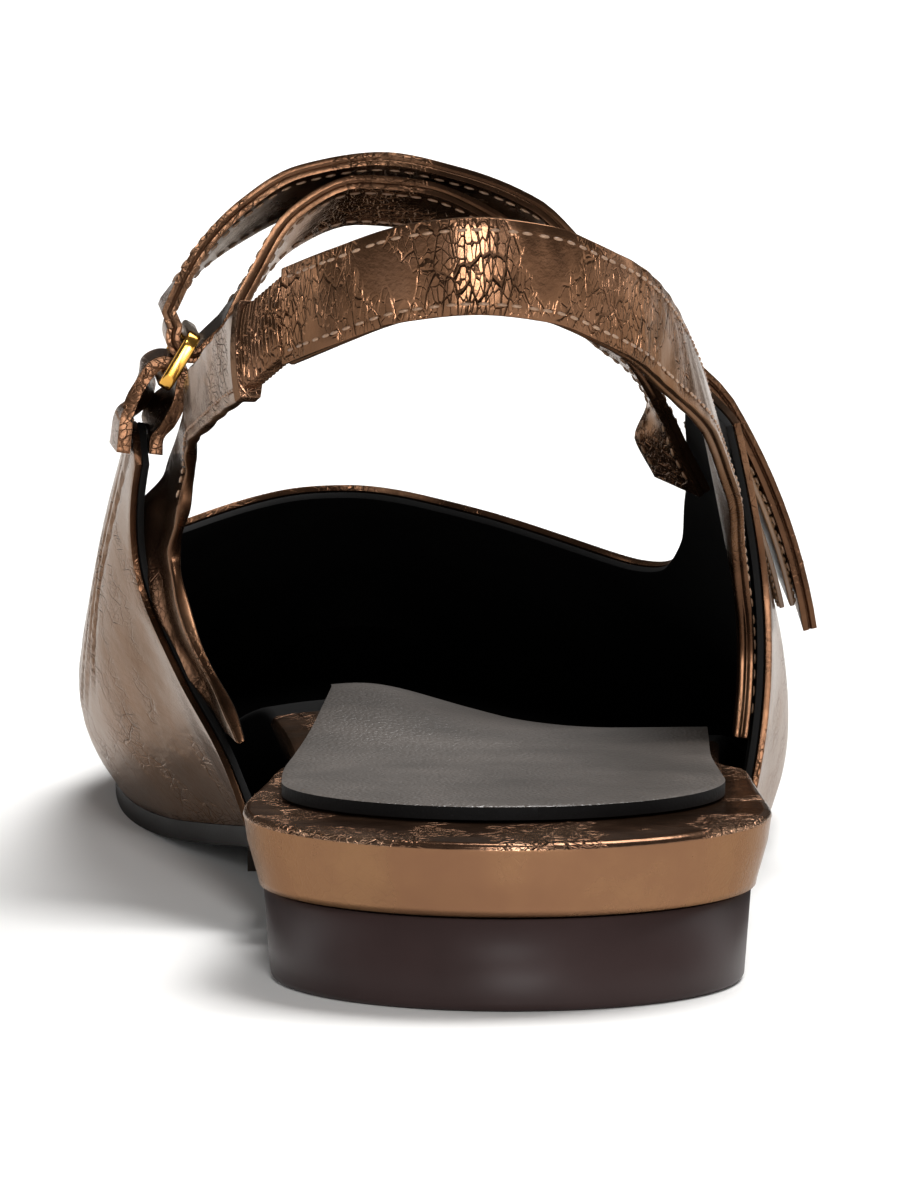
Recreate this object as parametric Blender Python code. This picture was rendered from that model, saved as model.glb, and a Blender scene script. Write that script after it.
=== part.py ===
"""Sling back flat for a right foot, in metres.

X points to the outer side of the foot, Y to the toe and Z up. In the functions Y is counted from the back
of the heel, and finish() moves each piece so that the origin is on the floor in the middle of the heel's
tread. The curved pieces take their places from one surface, the outside of the upper on its last, which
last() gives for a place along the shoe and a place round its section.
"""

import bisect
import functools
import math
from typing import NamedTuple

import bmesh
import bpy
from mathutils import Vector

LENGTH = 0.262
BALL_WIDTH = 0.084
INSTEP_HEIGHT = 0.0805
SEAT_HEIGHT = 0.0183
ARCH_RISE = 0.0077
TOE_SPRING = 0.0066
TREAD_START = 0.158
TREAD_END = 0.198
HEEL_ROUND = 0.030
TOE_ROUND = 0.012

CLEARANCE = 0.0003
OUTSOLE_THICKNESS = 0.0023
FOOTBED_THIN = 0.0025
UPPER_WALL = 0.0016

HEEL_BREAST = 0.058
HEEL_CENTRE = 0.030
HEEL_TOP_INSET = 0.0022
HEEL_TAPER = 0.0007
HEEL_EDGE_RADIUS = 0.0012

PLATFORM_END = 0.060
PLATFORM_STEP = 0.007
SHANK_START = 0.076
SHANK_END = 0.175
ARCH_BUMP = 0.0045
RIM_TAPER = 0.0017
RIM_RADIUS = 0.0009
FOOTBED_GAP = 0.0007
FOOTBED_WAIST = 0.0030

PAD_THICKNESS = 0.0014
PAD_BACK_MARGIN = 0.0165
PAD_SIDE_MARGIN = 0.0042
PAD_ARCH_MARGIN = 0.005
PAD_ROUND = 0.023

STRAP_THICKNESS = 0.0016
SLING_WIDTH = 0.0102
SLING_LEAN = 0.0018
INSTEP_STRAP_WIDTH = 0.0115
BASE_WIDTH = 0.0100
BASE_THICKNESS = 0.0013
LINER_GAP = 0.0019
ELASTIC_WIDTH = 0.0090
ELASTIC_THICKNESS = 0.0022
TAPE_THICKNESS = 0.0009
TAPE_WIDTH = 0.0100

RING_LENGTH = 0.0166
RING_WIDTH = 0.0072
RING_BAR = 0.00135
RING_THICKNESS = 0.0016
RING_CORNER = 0.0017
RING_TILT = math.radians(59.3)
TAB_THICKNESS = 0.0015
TAB_WIDTH = 0.0100
TAB_LEG = 0.0035
QUARTER_BOW = 0.006
INNER_BOW = 0.024

MERGE = 0.000002
FORWARD = Vector((0.0, 1.0, 0.0))

BRONZE = (0.262, 0.130, 0.075)
DARK = (0.028, 0.019, 0.015)
BLACK = (0.012, 0.011, 0.011)
GOLD = (0.800, 0.560, 0.240)


class Section(NamedTuple):
    """One section of the last: along is a share of LENGTH, height of INSTEP_HEIGHT, the rest of BALL_WIDTH.

    The section is a curve on each side from the feather edge to the crown. bulge and rise set how it leaves
    the edge, reach how flat it comes to the crown.
    """

    along: float
    axis: float
    half: float
    crown: float
    height: float
    bulge_in: float
    rise_in: float
    reach_in: float
    bulge_out: float
    rise_out: float
    reach_out: float


SECTIONS = [
    Section(0.000, 0.000, 0.337, -0.080, 1.200, 0.08, 0.60, 0.21, 0.10, 0.50, 0.31),
    Section(0.110, 0.000, 0.337, -0.080, 1.190, 0.12, 0.60, 0.21, 0.10, 0.50, 0.31),
    Section(0.190, 0.006, 0.331, -0.090, 1.170, 0.16, 0.60, 0.21, 0.11, 0.50, 0.31),
    Section(0.229, 0.012, 0.327, -0.095, 1.143, 0.20, 0.60, 0.21, 0.12, 0.50, 0.31),
    Section(0.286, 0.025, 0.326, -0.107, 1.081, 0.26, 0.60, 0.21, 0.13, 0.50, 0.31),
    Section(0.340, 0.035, 0.328, -0.120, 1.037, 0.33, 0.60, 0.21, 0.13, 0.50, 0.32),
    Section(0.382, 0.043, 0.337, -0.131, 0.997, 0.35, 0.62, 0.21, 0.14, 0.50, 0.34),
    Section(0.458, 0.042, 0.375, -0.125, 0.857, 0.34, 0.57, 0.21, 0.14, 0.48, 0.34),
    Section(0.534, 0.031, 0.417, -0.119, 0.718, 0.28, 0.50, 0.21, 0.13, 0.41, 0.30),
    Section(0.630, 0.011, 0.442, -0.119, 0.558, 0.20, 0.45, 0.20, 0.17, 0.35, 0.19),
    Section(0.710, -0.012, 0.424, -0.107, 0.456, 0.14, 0.45, 0.19, 0.15, 0.35, 0.17),
    Section(0.782, -0.035, 0.357, -0.095, 0.391, 0.09, 0.45, 0.15, 0.11, 0.40, 0.14),
    Section(0.859, -0.045, 0.253, -0.071, 0.326, 0.07, 0.50, 0.11, 0.07, 0.45, 0.11),
    Section(0.935, -0.044, 0.148, -0.054, 0.260, 0.05, 0.50, 0.06, 0.05, 0.50, 0.06),
    Section(1.000, -0.042, 0.110, -0.044, 0.202, 0.04, 0.50, 0.05, 0.04, 0.50, 0.05),
]


class Edge(NamedTuple):
    """A place on the upper's top edge: its share of the run from quarter to quarter, of LENGTH, and round."""

    run: float
    along: float
    around: float


TOP_EDGE = [
    Edge(-1.00, 0.374, 0.195),
    Edge(-0.90, 0.410, 0.213),
    Edge(-0.76, 0.480, 0.215),
    Edge(-0.60, 0.575, 0.238),
    Edge(-0.45, 0.645, 0.292),
    Edge(-0.30, 0.680, 0.355),
    Edge(-0.15, 0.699, 0.425),
    Edge(0.00, 0.710, 0.500),
    Edge(0.15, 0.702, 0.585),
    Edge(0.30, 0.683, 0.655),
    Edge(0.42, 0.656, 0.715),
    Edge(0.50, 0.630, 0.745),
    Edge(0.58, 0.592, 0.762),
    Edge(0.66, 0.552, 0.764),
    Edge(0.74, 0.504, 0.755),
    Edge(0.82, 0.440, 0.752),
    Edge(0.91, 0.345, 0.762),
    Edge(1.00, 0.240, 0.800),
]

QUARTER_START = (0.255, 0.273)


class Strip(NamedTuple):
    """A place on a strap's middle line, as a share of its run.

    out, along and up are shares of BALL_WIDTH, LENGTH and INSTEP_HEIGHT. turn is the angle at which the
    strap's width stands, 0 forward and 90 up, and width a share of its named width. hug is how far it
    follows the last, at lift times the depth of what it lies on.
    """

    run: float
    out: float
    along: float
    up: float
    turn: float
    width: float
    hug: float
    lift: float


SLING = [
    Strip(0.00, -0.2860, 0.0706, 0.896, 84, 1.00, 0.0, -1.0),
    Strip(0.09, -0.2270, 0.0363, 0.933, 88, 1.00, 0.0, -1.0),
    Strip(0.18, -0.1400, 0.0165, 0.969, 90, 1.00, 0.0, -1.0),
    Strip(0.26, -0.0595, 0.0115, 0.978, 90, 1.00, 0.0, -1.0),
    Strip(0.34, 0.0250, 0.0160, 0.967, 90, 1.00, 0.0, -1.0),
    Strip(0.42, 0.0976, 0.0344, 0.933, 90, 1.00, 0.0, -1.0),
    Strip(0.49, 0.1550, 0.0610, 0.895, 86, 1.00, 0.0, -1.0),
    Strip(0.59, 0.2110, 0.1110, 0.828, 76, 1.00, 0.0, -1.0),
    Strip(0.68, 0.2480, 0.1600, 0.767, 70, 1.00, 0.0, -1.0),
    Strip(0.76, 0.2760, 0.2060, 0.703, 62, 1.00, 0.0, -1.0),
    Strip(0.84, 0.3060, 0.2540, 0.608, 50, 1.00, 0.2, -1.0),
    Strip(0.91, 0.3260, 0.2930, 0.491, 34, 1.05, 0.8, -1.0),
    Strip(0.96, 0.3450, 0.3090, 0.366, 10, 1.10, 1.0, -1.0),
    Strip(1.00, 0.3450, 0.3060, 0.240, -2, 1.15, 1.0, -1.0),
]

BASE = [
    Strip(0.00, -0.330, 0.2900, 0.245, 0, 1.50, 1.0, -0.64),
    Strip(0.14, -0.370, 0.3640, 0.362, 2, 1.60, 1.0, -0.72),
    Strip(0.26, -0.390, 0.3840, 0.478, 8, 1.42, 1.0, -0.90),
    Strip(0.34, -0.400, 0.3620, 0.554, 12, 1.36, 1.0, -1.10),
    Strip(0.42, -0.380, 0.3460, 0.618, 28, 0.92, 1.0, -1.24),
    Strip(0.54, -0.381, 0.3050, 0.697, 70, 0.80, 0.2, -1.0),
    Strip(0.68, -0.368, 0.2520, 0.738, 73, 0.83, 0.0, -1.0),
    Strip(0.82, -0.354, 0.1910, 0.783, 75, 0.89, 0.0, -1.0),
    Strip(0.92, -0.340, 0.1450, 0.817, 77, 0.96, 0.0, -1.0),
    Strip(1.00, -0.3286, 0.1145, 0.839, 79, 1.00, 0.0, -1.0),
]

LOWER_LAYER = [
    Strip(0.00, 0.345, 0.4760, 0.555, 8, 1.0, 1.0, -1.0),
    Strip(0.14, 0.304, 0.4670, 0.610, 6, 1.0, 0.9, -1.0),
    Strip(0.26, 0.276, 0.4540, 0.658, 4, 1.0, 0.1, -1.0),
    Strip(0.33, 0.243, 0.4440, 0.709, -3, 1.0, 0.0, -1.0),
    Strip(0.40, 0.189, 0.4330, 0.764, -12, 1.0, 0.0, -1.0),
    Strip(0.52, 0.039, 0.4080, 0.913, -22, 1.0, 0.0, -1.0),
    Strip(0.62, -0.063, 0.4015, 0.954, -26, 1.0, 0.0, -1.0),
    Strip(0.70, -0.143, 0.4010, 0.961, -26, 1.0, 0.0, -1.0),
    Strip(0.80, -0.232, 0.3990, 0.921, -22, 1.0, 0.0, -1.0),
    Strip(0.90, -0.285, 0.3930, 0.851, -10, 1.0, 0.0, -1.0),
    Strip(1.00, -0.322, 0.3870, 0.792, 0, 1.0, 0.0, -1.0),
]

UPPER_LAYER = [
    Strip(0.00, -0.400, 0.3870, 0.816, 0, 1.0, 0.0, 1.0),
    Strip(0.10, -0.362, 0.3924, 0.876, -12, 1.0, 0.0, 1.0),
    Strip(0.21, -0.2976, 0.3990, 0.934, -22, 1.0, 0.0, 1.0),
    Strip(0.32, -0.220, 0.4010, 0.976, -26, 1.0, 0.0, 1.0),
    Strip(0.42, -0.1155, 0.4010, 0.993, -26, 1.0, 0.0, 1.0),
    Strip(0.52, -0.0107, 0.4040, 0.973, -24, 1.0, 0.0, 1.0),
    Strip(0.62, 0.095, 0.4103, 0.931, -20, 1.0, 0.0, 1.0),
    Strip(0.68, 0.158, 0.4180, 0.873, -14, 1.0, 0.0, 1.0),
    Strip(0.78, 0.268, 0.4313, 0.750, -4, 1.0, 0.2, 1.0),
    Strip(0.85, 0.333, 0.4420, 0.645, 6, 1.0, 1.0, 1.0),
    Strip(0.93, 0.410, 0.4540, 0.494, 12, 1.0, 1.0, 1.0),
    Strip(1.00, 0.460, 0.4687, 0.347, 14, 1.0, 1.0, 1.0),
]
TAPE_START = 0.868
TAPE_END = 0.985


class Fold(NamedTuple):
    """A place on the tab's fold, from the ring's centre, as shares of RING_WIDTH."""

    out: float
    up: float


TAB_OUTER = [Fold(-0.79, -0.81), Fold(-0.667, -0.514)]
TAB_INNER = [Fold(-0.014, -0.75), Fold(-0.167, -1.028)]
RING_PLACE = Strip(0.0, -0.387, 0.3855, 0.750, 0, 1.0, 0.0, 0.0)


class PadEdge(NamedTuple):
    """The pad's front edge: a place across, from -1 on the inner side to 1, and a share of LENGTH."""

    across: float
    along: float


PAD_FRONT = [
    PadEdge(-1.0, 0.375),
    PadEdge(-0.7, 0.408),
    PadEdge(-0.4, 0.392),
    PadEdge(0.0, 0.345),
    PadEdge(0.5, 0.322),
    PadEdge(1.0, 0.328),
]


def ease(t):
    """Smooth step from 0 to 1."""
    t = min(max(t, 0.0), 1.0)
    return t * t * (3.0 - 2.0 * t)


def mix(a, b, t):
    return a + (b - a) * t


def follow(rows, place, column):
    """One column of a table, on a smooth curve through its rows that never swings past a row."""
    last_row = len(rows) - 1
    place = min(max(place, rows[0][0]), rows[-1][0])
    i = min(max(bisect.bisect_right(rows, place, key=lambda row: row[0]) - 1, 0), last_row - 1)

    def slope_after(k):
        return (getattr(rows[k + 1], column) - getattr(rows[k], column)) / (rows[k + 1][0] - rows[k][0])

    def slope(k):
        if k in (0, last_row):
            return slope_after(min(k, last_row - 1))
        before = slope_after(k - 1)
        after = slope_after(k)
        return 0.0 if before * after <= 0.0 else 2.0 * before * after / (before + after)

    span = rows[i + 1][0] - rows[i][0]
    t = (place - rows[i][0]) / span
    start = getattr(rows[i], column)
    rise = getattr(rows[i + 1], column) - start
    leave = slope(i) * span
    arrive = slope(i + 1) * span
    return start + t * leave + t * t * (3 * rise - 2 * leave - arrive) + t**3 * (leave + arrive - 2 * rise)


def end_round(y, inset=0.0):
    """How much of its full width a form has at y: under 1 only in the round of the heel and of the toe."""
    toe = LENGTH - TOE_ROUND
    if y < HEEL_ROUND:
        reach = (HEEL_ROUND - y) / (HEEL_ROUND - inset)
    elif y > toe:
        reach = (y - toe) / (TOE_ROUND - inset)
    else:
        return 1.0
    return math.sqrt(max(0.0, 1.0 - reach * reach))


def sole_lift(y):
    """Height of the outsole's underside: the arch behind the tread and the toe spring in front of it."""
    if y < TREAD_START:
        return ARCH_RISE * ease((TREAD_START - y) / (TREAD_START - HEEL_BREAST))
    if y > TREAD_END:
        return TOE_SPRING * ((y - TREAD_END) / (LENGTH - TREAD_END)) ** 1.6
    return 0.0


def feather_height(y):
    """Height of the upper's lower edge, just over the outsole."""
    return sole_lift(y) + OUTSOLE_THICKNESS + CLEARANCE


def outline(y, inset=0.0):
    """The inner and the outer edge of the feather line at y, drawn in by inset."""
    along = y / LENGTH
    middle = follow(SECTIONS, along, "axis") * BALL_WIDTH
    full = follow(SECTIONS, along, "half") * BALL_WIDTH
    half = max(full - inset, 0.0) * end_round(y, inset)
    return middle - half, middle + half


@functools.cache
def section_curves(y):
    """The inner and the outer curve of the section at y, each as four control points (x, z)."""
    along = min(max(y / LENGTH, 0.0), 1.0)
    cap = end_round(y)
    edges = outline(y)
    low = feather_height(y)
    height = (follow(SECTIONS, along, "height") * INSTEP_HEIGHT - low) * cap
    middle = follow(SECTIONS, along, "axis")
    crown = mix(middle, follow(SECTIONS, along, "crown"), cap) * BALL_WIDTH
    curves = []
    for sign, side, edge in ((-1, "_in", edges[0]), (1, "_out", edges[1])):
        bulge = sign * follow(SECTIONS, along, "bulge" + side) * BALL_WIDTH * cap
        rise = follow(SECTIONS, along, "rise" + side) * height
        reach = sign * follow(SECTIONS, along, "reach" + side) * BALL_WIDTH * cap
        curves.append(
            ((edge, low), (edge + bulge, low + rise), (crown + reach, low + height), (crown, low + height))
        )
    return curves


def last(y, around):
    """A point outside the upper: around is 0 at the inner feather edge, 0.5 on the crown, 1 at the outer."""
    curve = section_curves(y)[0 if around <= 0.5 else 1]
    t = min(around, 1.0 - around) / 0.5
    weights = ((1 - t) ** 3, 3 * t * (1 - t) ** 2, 3 * t * t * (1 - t), t**3)
    x = sum(weight * point[0] for weight, point in zip(weights, curve))
    z = sum(weight * point[1] for weight, point in zip(weights, curve))
    return Vector((x, y, z))


def last_normal(y, around):
    """The outward direction of last(), from a small step along it and one round it."""
    step = 0.0008
    y = min(max(y, 2 * step), LENGTH - 2 * step)
    around = min(max(around, 0.004), 0.996)
    along = last(y + step, around) - last(y - step, around)
    across = last(y, around + 0.004) - last(y, around - 0.004)
    return along.cross(across).normalized() * -1.0


def around_at(y, height, side):
    """The place round the section where last() has this height, on the side -1 (inner) or 1 (outer)."""
    low, high = 0.0, 0.5
    for _ in range(18):
        guess = (low + high) / 2
        if last(y, guess if side < 0 else 1.0 - guess).z < height:
            low = guess
        else:
            high = guess
    return low if side < 0 else 1.0 - low


def side_of_last(y, height, side, lift):
    """The point at a distance lift outside the last, beside its point at this y and height."""
    around = around_at(y, height, side)
    return last(y, around) + last_normal(y, around) * lift


def footbed_height(x, y):
    """Height of the footbed's top: a level seat, the fall of the shank, the forefoot and the arch bump."""
    front = feather_height(y) + FOOTBED_THIN
    fall = ease((y - SHANK_START) / (SHANK_END - SHANK_START))
    bump_x = -0.155 * BALL_WIDTH
    spread_x = (0.24 if x < bump_x else 0.15) * BALL_WIDTH
    along = (y - 0.375 * LENGTH) / (0.11 * LENGTH)
    bump = ARCH_BUMP * math.exp(-(((x - bump_x) / spread_x) ** 2) - along**2)
    return mix(max(SEAT_HEIGHT, front), front, fall) + bump * ease((y - 0.16 * LENGTH) / (0.15 * LENGTH))


def footbed_edges(y, height, inset):
    """The footbed's edges: full width at the heel, then inside the quarters, then inside the feather line."""
    heel = outline(y, inset)
    waist = FOOTBED_WAIST * ease((y - HEEL_ROUND) / 0.035)
    if y < PLATFORM_END:
        return heel[0] + waist, heel[1]
    liner = UPPER_WALL + LINER_GAP + BASE_THICKNESS + CLEARANCE
    level = max(height, feather_height(y) + CLEARANCE)
    sides = [side_of_last(y, level, side, -liner - inset).x for side in (-1, 1)]
    front = outline(y, UPPER_WALL + FOOTBED_GAP + inset)
    step = ease((y - PLATFORM_END) / PLATFORM_STEP)
    ahead = ease((y - 0.42 * LENGTH) / (0.12 * LENGTH))
    edges = [mix(mix(heel[i], sides[i], step), front[i], ahead) for i in (0, 1)]
    return edges[0] + waist * (1.0 - ahead), edges[1]


def finish(name, mesh, colour, roughness, metallic=0.0):
    """Makes the piece's object from its bmesh, with its own material, in the shoe's collection."""
    bmesh.ops.remove_doubles(mesh, verts=mesh.verts[:], dist=MERGE)
    bmesh.ops.recalc_face_normals(mesh, faces=mesh.faces[:])
    data = bpy.data.meshes.new(name)
    mesh.to_mesh(data)
    mesh.free()
    data.shade_smooth()
    data.set_sharp_from_angle(angle=math.radians(35))
    material = bpy.data.materials.new(name)
    material.use_nodes = True
    shader = material.node_tree.nodes["Principled BSDF"]
    shader.inputs["Base Color"].default_value = (*colour, 1.0)
    shader.inputs["Roughness"].default_value = roughness
    shader.inputs["Metallic"].default_value = metallic
    data.materials.append(material)
    piece = bpy.data.objects.new(name, data)
    piece.location.y = -HEEL_CENTRE
    bpy.data.collections["sling_back_flat"].objects.link(piece)


def sheet(across, along, levels, place):
    """A closed form grown from a grid through levels, each point set by place(u, v, level)."""
    mesh = bmesh.new()
    bmesh.ops.create_grid(mesh, x_segments=across, y_segments=along, size=1.0)
    faces = mesh.faces[:]
    for level in range(1, levels):
        grown = bmesh.ops.extrude_face_region(mesh, geom=faces)["geom"]
        if level > 1:
            bmesh.ops.delete(mesh, geom=faces, context="FACES")
        faces = [item for item in grown if isinstance(item, bmesh.types.BMFace)]
        for item in grown:
            if isinstance(item, bmesh.types.BMVert):
                item.co.z = level
    for vert in mesh.verts:
        vert.co = place(vert.co.x, vert.co.y, round(vert.co.z))
    return mesh


def station(v, start, end):
    """A place between start and end for v from -1 to 1, closer together near both."""
    return mix(start, end, (1.0 + math.sin(math.pi / 2 * v)) / 2.0)


def make_outsole():
    """Thin sole from the heel's breast to the toe, with a flat tread under the ball."""

    def place(u, v, level):
        y = station(v, HEEL_BREAST + CLEARANCE, LENGTH)
        left, right = outline(y)
        return Vector((mix(left, right, (u + 1) / 2), y, sole_lift(y) + level * OUTSOLE_THICKNESS))

    finish("outsole", sheet(8, 34, 2, place), DARK, 0.55)


def make_heel():
    """Low block with a rounded lower edge, drawn in slightly below, and a flat breast."""
    top = sole_lift(HEEL_BREAST) + OUTSOLE_THICKNESS
    levels = [
        (0.0, HEEL_TAPER + HEEL_EDGE_RADIUS),
        (HEEL_EDGE_RADIUS * 0.3, HEEL_TAPER + HEEL_EDGE_RADIUS * 0.3),
        (HEEL_EDGE_RADIUS, HEEL_TAPER),
        (top, 0.0),
    ]

    def place(u, v, level):
        height, inset = levels[level]
        inset += HEEL_TOP_INSET
        y = mix(inset, HEEL_BREAST, 1.0 - math.cos(math.pi / 4 * (v + 1)))
        left, right = outline(y, inset)
        return Vector((mix(left, right, (u + 1) / 2), y, height))

    finish("heel", sheet(8, 14, len(levels), place), DARK, 0.5)


def make_footbed():
    """Wrapped platform: its side draws in below a rounded ridge, and forward it runs inside the upper."""

    def place(u, v, level):
        share, ridge = ((0.0, 0.0), (0.45, 0.0), (1.0, 1.0), (1.0, 0.3), (1.0, 0.0))[level]
        end = LENGTH - UPPER_WALL - FOOTBED_GAP
        y = station(v, 0.0, end)
        low = feather_height(y)
        thick = footbed_height(0.0, y) - low
        radius = min(RIM_RADIUS, 0.35 * thick)
        draw = (1.0, 0.45, 0.0, 0.0, 0.0)[level] * RIM_TAPER * (1.0 - ease((y - PLATFORM_END) / PLATFORM_STEP))
        inset = draw + (radius * 0.3 if level == 3 else radius if level == 4 else 0.0)
        y = station(v, inset, end - (inset if level > 2 else 0.0))
        left, right = footbed_edges(y, low + share * thick, inset)
        x = mix(left, right, (u + 1) / 2)
        if level < 2:
            return Vector((x, y, mix(low, footbed_height(x, y), share)))
        return Vector((x, y, footbed_height(x, y) - radius * ridge))

    finish("footbed", sheet(10, 36, 5, place), BRONZE, 0.4)


def make_heel_pad():
    """Sock on the footbed with a wavy front edge."""
    back = PAD_BACK_MARGIN

    def place(u, v, level):
        front = follow(PAD_FRONT, u, "along") * LENGTH
        y = station(v, back, front)
        arch = PAD_ARCH_MARGIN * ease((y - 0.17 * LENGTH) / (0.22 * LENGTH))
        left, right = outline(max(y, HEEL_ROUND), PAD_SIDE_MARGIN)
        reach = max(0.0, 1.0 - (y - back) / PAD_ROUND)
        cap = math.sqrt(max(0.0, 1.0 - reach * reach))
        middle = (left + right) / 2
        x = mix(middle + (left + arch - middle) * cap, middle + (right - middle) * cap, (u + 1) / 2)
        return Vector((x, y, footbed_height(x, y) + CLEARANCE + level * PAD_THICKNESS))

    finish("heel_pad", sheet(10, 18, 2, place), BLACK, 0.6)


def upper_place(run, rise):
    """A place on the upper as (y, around): run from quarter to quarter, rise from feather to top edge.

    Each line of the upper runs straight in the plan of the last, with the round of the section as its width.
    """
    side = -1.0 if run < 0 else 1.0
    rear = QUARTER_START[0 if run < 0 else 1] * LENGTH
    feather_y = mix(rear, LENGTH, math.cos(math.pi / 2 * abs(run)) ** 0.9)
    top_y = follow(TOP_EDGE, run, "along") * LENGTH
    top_around = follow(TOP_EDGE, run, "around")
    share = rise**1.8
    bow = QUARTER_BOW * math.sin(math.pi * share) * ease((run - 0.6) / 0.4)
    bow += INNER_BOW * math.sin(math.pi * min(rise**1.15 / 0.9, 1.0)) * ease((-run - 0.6) / 0.4)
    y = mix(feather_y, top_y, share)
    widths = [follow(SECTIONS, place / LENGTH, "half") * end_round(place) for place in (feather_y, top_y, y)]
    plan = mix(side * widths[0], -math.cos(math.pi * top_around) * widths[1], share)
    if widths[2] < 1e-6:
        return y + bow, 0.5
    return y + bow, math.acos(min(max(-plan / widths[2], -1.0), 1.0)) / math.pi


def make_upper():
    """Vamp and quarters as one wall, open at the throat, collar and heel, and underneath."""

    def place(u, v, level):
        y, around = upper_place(u, (v + 1) / 2)
        point = last(y, around)
        if level == 0:
            point -= last_normal(y, around) * UPPER_WALL
        point.z = max(point.z, feather_height(point.y))
        return point

    finish("upper", sheet(56, 13, 2, place), BRONZE, 0.38)


def strip_edges(rows, run, width, side, depths):
    """The two edge points of a strap at a share of its run. depths are its depth inside and outside."""
    row = Strip(run, *(follow(rows, run, column) for column in Strip._fields[1:]))
    half = row.width * width / 2
    turn = math.radians(row.turn)
    points = []
    for sign in (-1, 1):
        y = row.along * LENGTH + sign * half * math.cos(turn)
        z = row.up * INSTEP_HEIGHT + sign * half * math.sin(turn)
        point = Vector((row.out * BALL_WIDTH, y, z))
        if row.hug > 0.0:
            lift = row.lift * depths[0 if row.lift < 0 else 1]
            point = point.lerp(side_of_last(y, z, side, lift), row.hug)
        points.append(point)
    return points


def band(across, along, thickness, edges):
    """A strap of one thickness between two edge lines, which edges(share) gives as two points."""

    def place(u, v, level):
        share = (v + 1) / 2
        low, high = edges(share)
        before = edges(max(share - 0.004, 0.0))
        after = edges(min(share + 0.004, 1.0))
        tangent = (after[0] + after[1]) - (before[0] + before[1])
        normal = (high - low).cross(tangent).normalized()
        return low.lerp(high, (u + 1) / 2) + normal * thickness * (level - 0.5)

    return sheet(across, along, 2, place)


def sling_edges(share):
    inside = UPPER_WALL + CLEARANCE + STRAP_THICKNESS / 2
    low, high = strip_edges(SLING, share, SLING_WIDTH, 1, (inside, 0.0))
    lean = SLING_LEAN * ease((share - 0.52) / 0.16) * (1.0 - ease((share - 0.80) / 0.12))
    return low + Vector((lean, 0.0, 0.0)), high - Vector((lean / 3, 0.0, 0.0))


def base_edges(share):
    inside = UPPER_WALL + LINER_GAP + BASE_THICKNESS / 2
    return strip_edges(BASE, share, BASE_WIDTH, -1, (inside, 0.0))


def make_sling():
    """The strap round the heel, its base inside the inner quarter, and the elastic between them."""
    finish("sling_strap", band(3, 44, STRAP_THICKNESS, sling_edges), BRONZE, 0.42)
    finish("sling_base", band(4, 34, BASE_THICKNESS, base_edges), BRONZE, 0.42)
    base_end = [sum(base_edges(share), Vector()) / 2 for share in (0.98, 1.0)]
    strap_end = [sum(sling_edges(share), Vector()) / 2 for share in (0.0, 0.02)]
    start = base_end[1] + (base_end[1] - base_end[0]).normalized() * CLEARANCE * 2
    end = strap_end[0] - (strap_end[1] - strap_end[0]).normalized() * CLEARANCE * 2
    rise = (base_edges(1.0)[1] - base_edges(1.0)[0]).normalized()
    rise_end = (sling_edges(0.0)[1] - sling_edges(0.0)[0]).normalized()

    def elastic_edges(share):
        middle = start.lerp(end, share)
        half = rise.lerp(rise_end, share).normalized() * ELASTIC_WIDTH / 2
        return middle - half, middle + half

    finish("sling_elastic", band(2, 6, ELASTIC_THICKNESS, elastic_edges), BRONZE, 0.5)


def ring_frame():
    """The ring's centre, the way from its upper bar to its lower one, and the outward side of its plane."""
    centre = Vector(
        (RING_PLACE.out * BALL_WIDTH, RING_PLACE.along * LENGTH, RING_PLACE.up * INSTEP_HEIGHT)
    )
    down = Vector((-math.cos(RING_TILT), 0.0, -math.sin(RING_TILT)))
    outward = Vector((-math.sin(RING_TILT), 0.0, math.cos(RING_TILT)))
    return centre, down, outward


def bar_turn(thickness):
    """Radius of the middle line of a strap of this thickness round one bar of the ring."""
    corner = math.hypot(RING_BAR, RING_THICKNESS) / 2
    return corner + CLEARANCE + thickness / 2


def make_ring():
    """Flat rectangular ring with rounded corners, its long side along the shoe."""
    centre, down, outward = ring_frame()
    half_width = RING_WIDTH / 2 - RING_CORNER
    half_length = RING_LENGTH / 2 - RING_CORNER
    path = []
    for corner in range(4):
        middle = Vector(((1, -1, -1, 1)[corner] * half_width, (1, 1, -1, -1)[corner] * half_length))
        for step in range(4):
            angle = math.pi / 2 * (corner + step / 3)
            path.append((middle, Vector((math.cos(angle), math.sin(angle)))))
    across = RING_BAR / 2
    high = RING_THICKNESS / 2
    profile = [(across, high), (-across, high), (-across, -high), (across, -high)]

    mesh = bmesh.new()
    bmesh.ops.create_grid(mesh, x_segments=len(path), y_segments=len(profile), size=0.5)
    for vert in mesh.verts:
        middle, way = path[round((vert.co.x + 0.5) * len(path)) % len(path)]
        side, lift = profile[round((vert.co.y + 0.5) * len(profile)) % len(profile)]
        flat = middle + way * (RING_CORNER - RING_BAR / 2 + side)
        vert.co = centre + down * flat.x + FORWARD * flat.y + outward * lift
    finish("ring", mesh, GOLD, 0.22, 1.0)


def smooth_path(points, share):
    """A point on a smooth curve through the points (Catmull-Rom)."""
    count = len(points) - 1
    place = min(max(share, 0.0), 1.0) * count
    i = min(int(place), count - 1)
    t = place - i
    before = points[i - 1] if i > 0 else points[i] * 2 - points[i + 1]
    after = points[i + 2] if i + 2 <= count else points[i + 1] * 2 - points[i]
    a, b = points[i], points[i + 1]
    square = before * 2 - a * 5 + b * 4 - after
    cube = (a - b) * 3 + after - before
    return a + (b - before) * (t / 2) + square * (t * t / 2) + cube * (t**3 / 2)


def strip_frames(rows, side, depths, shares):
    """Middle points and half widths of the instep strap at these shares of one of its layers."""
    frames = []
    for share in shares:
        low, high = strip_edges(rows, share, INSTEP_STRAP_WIDTH, side, depths)
        frames.append(((low + high) / 2, (high - low) / 2))
    return frames


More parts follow.
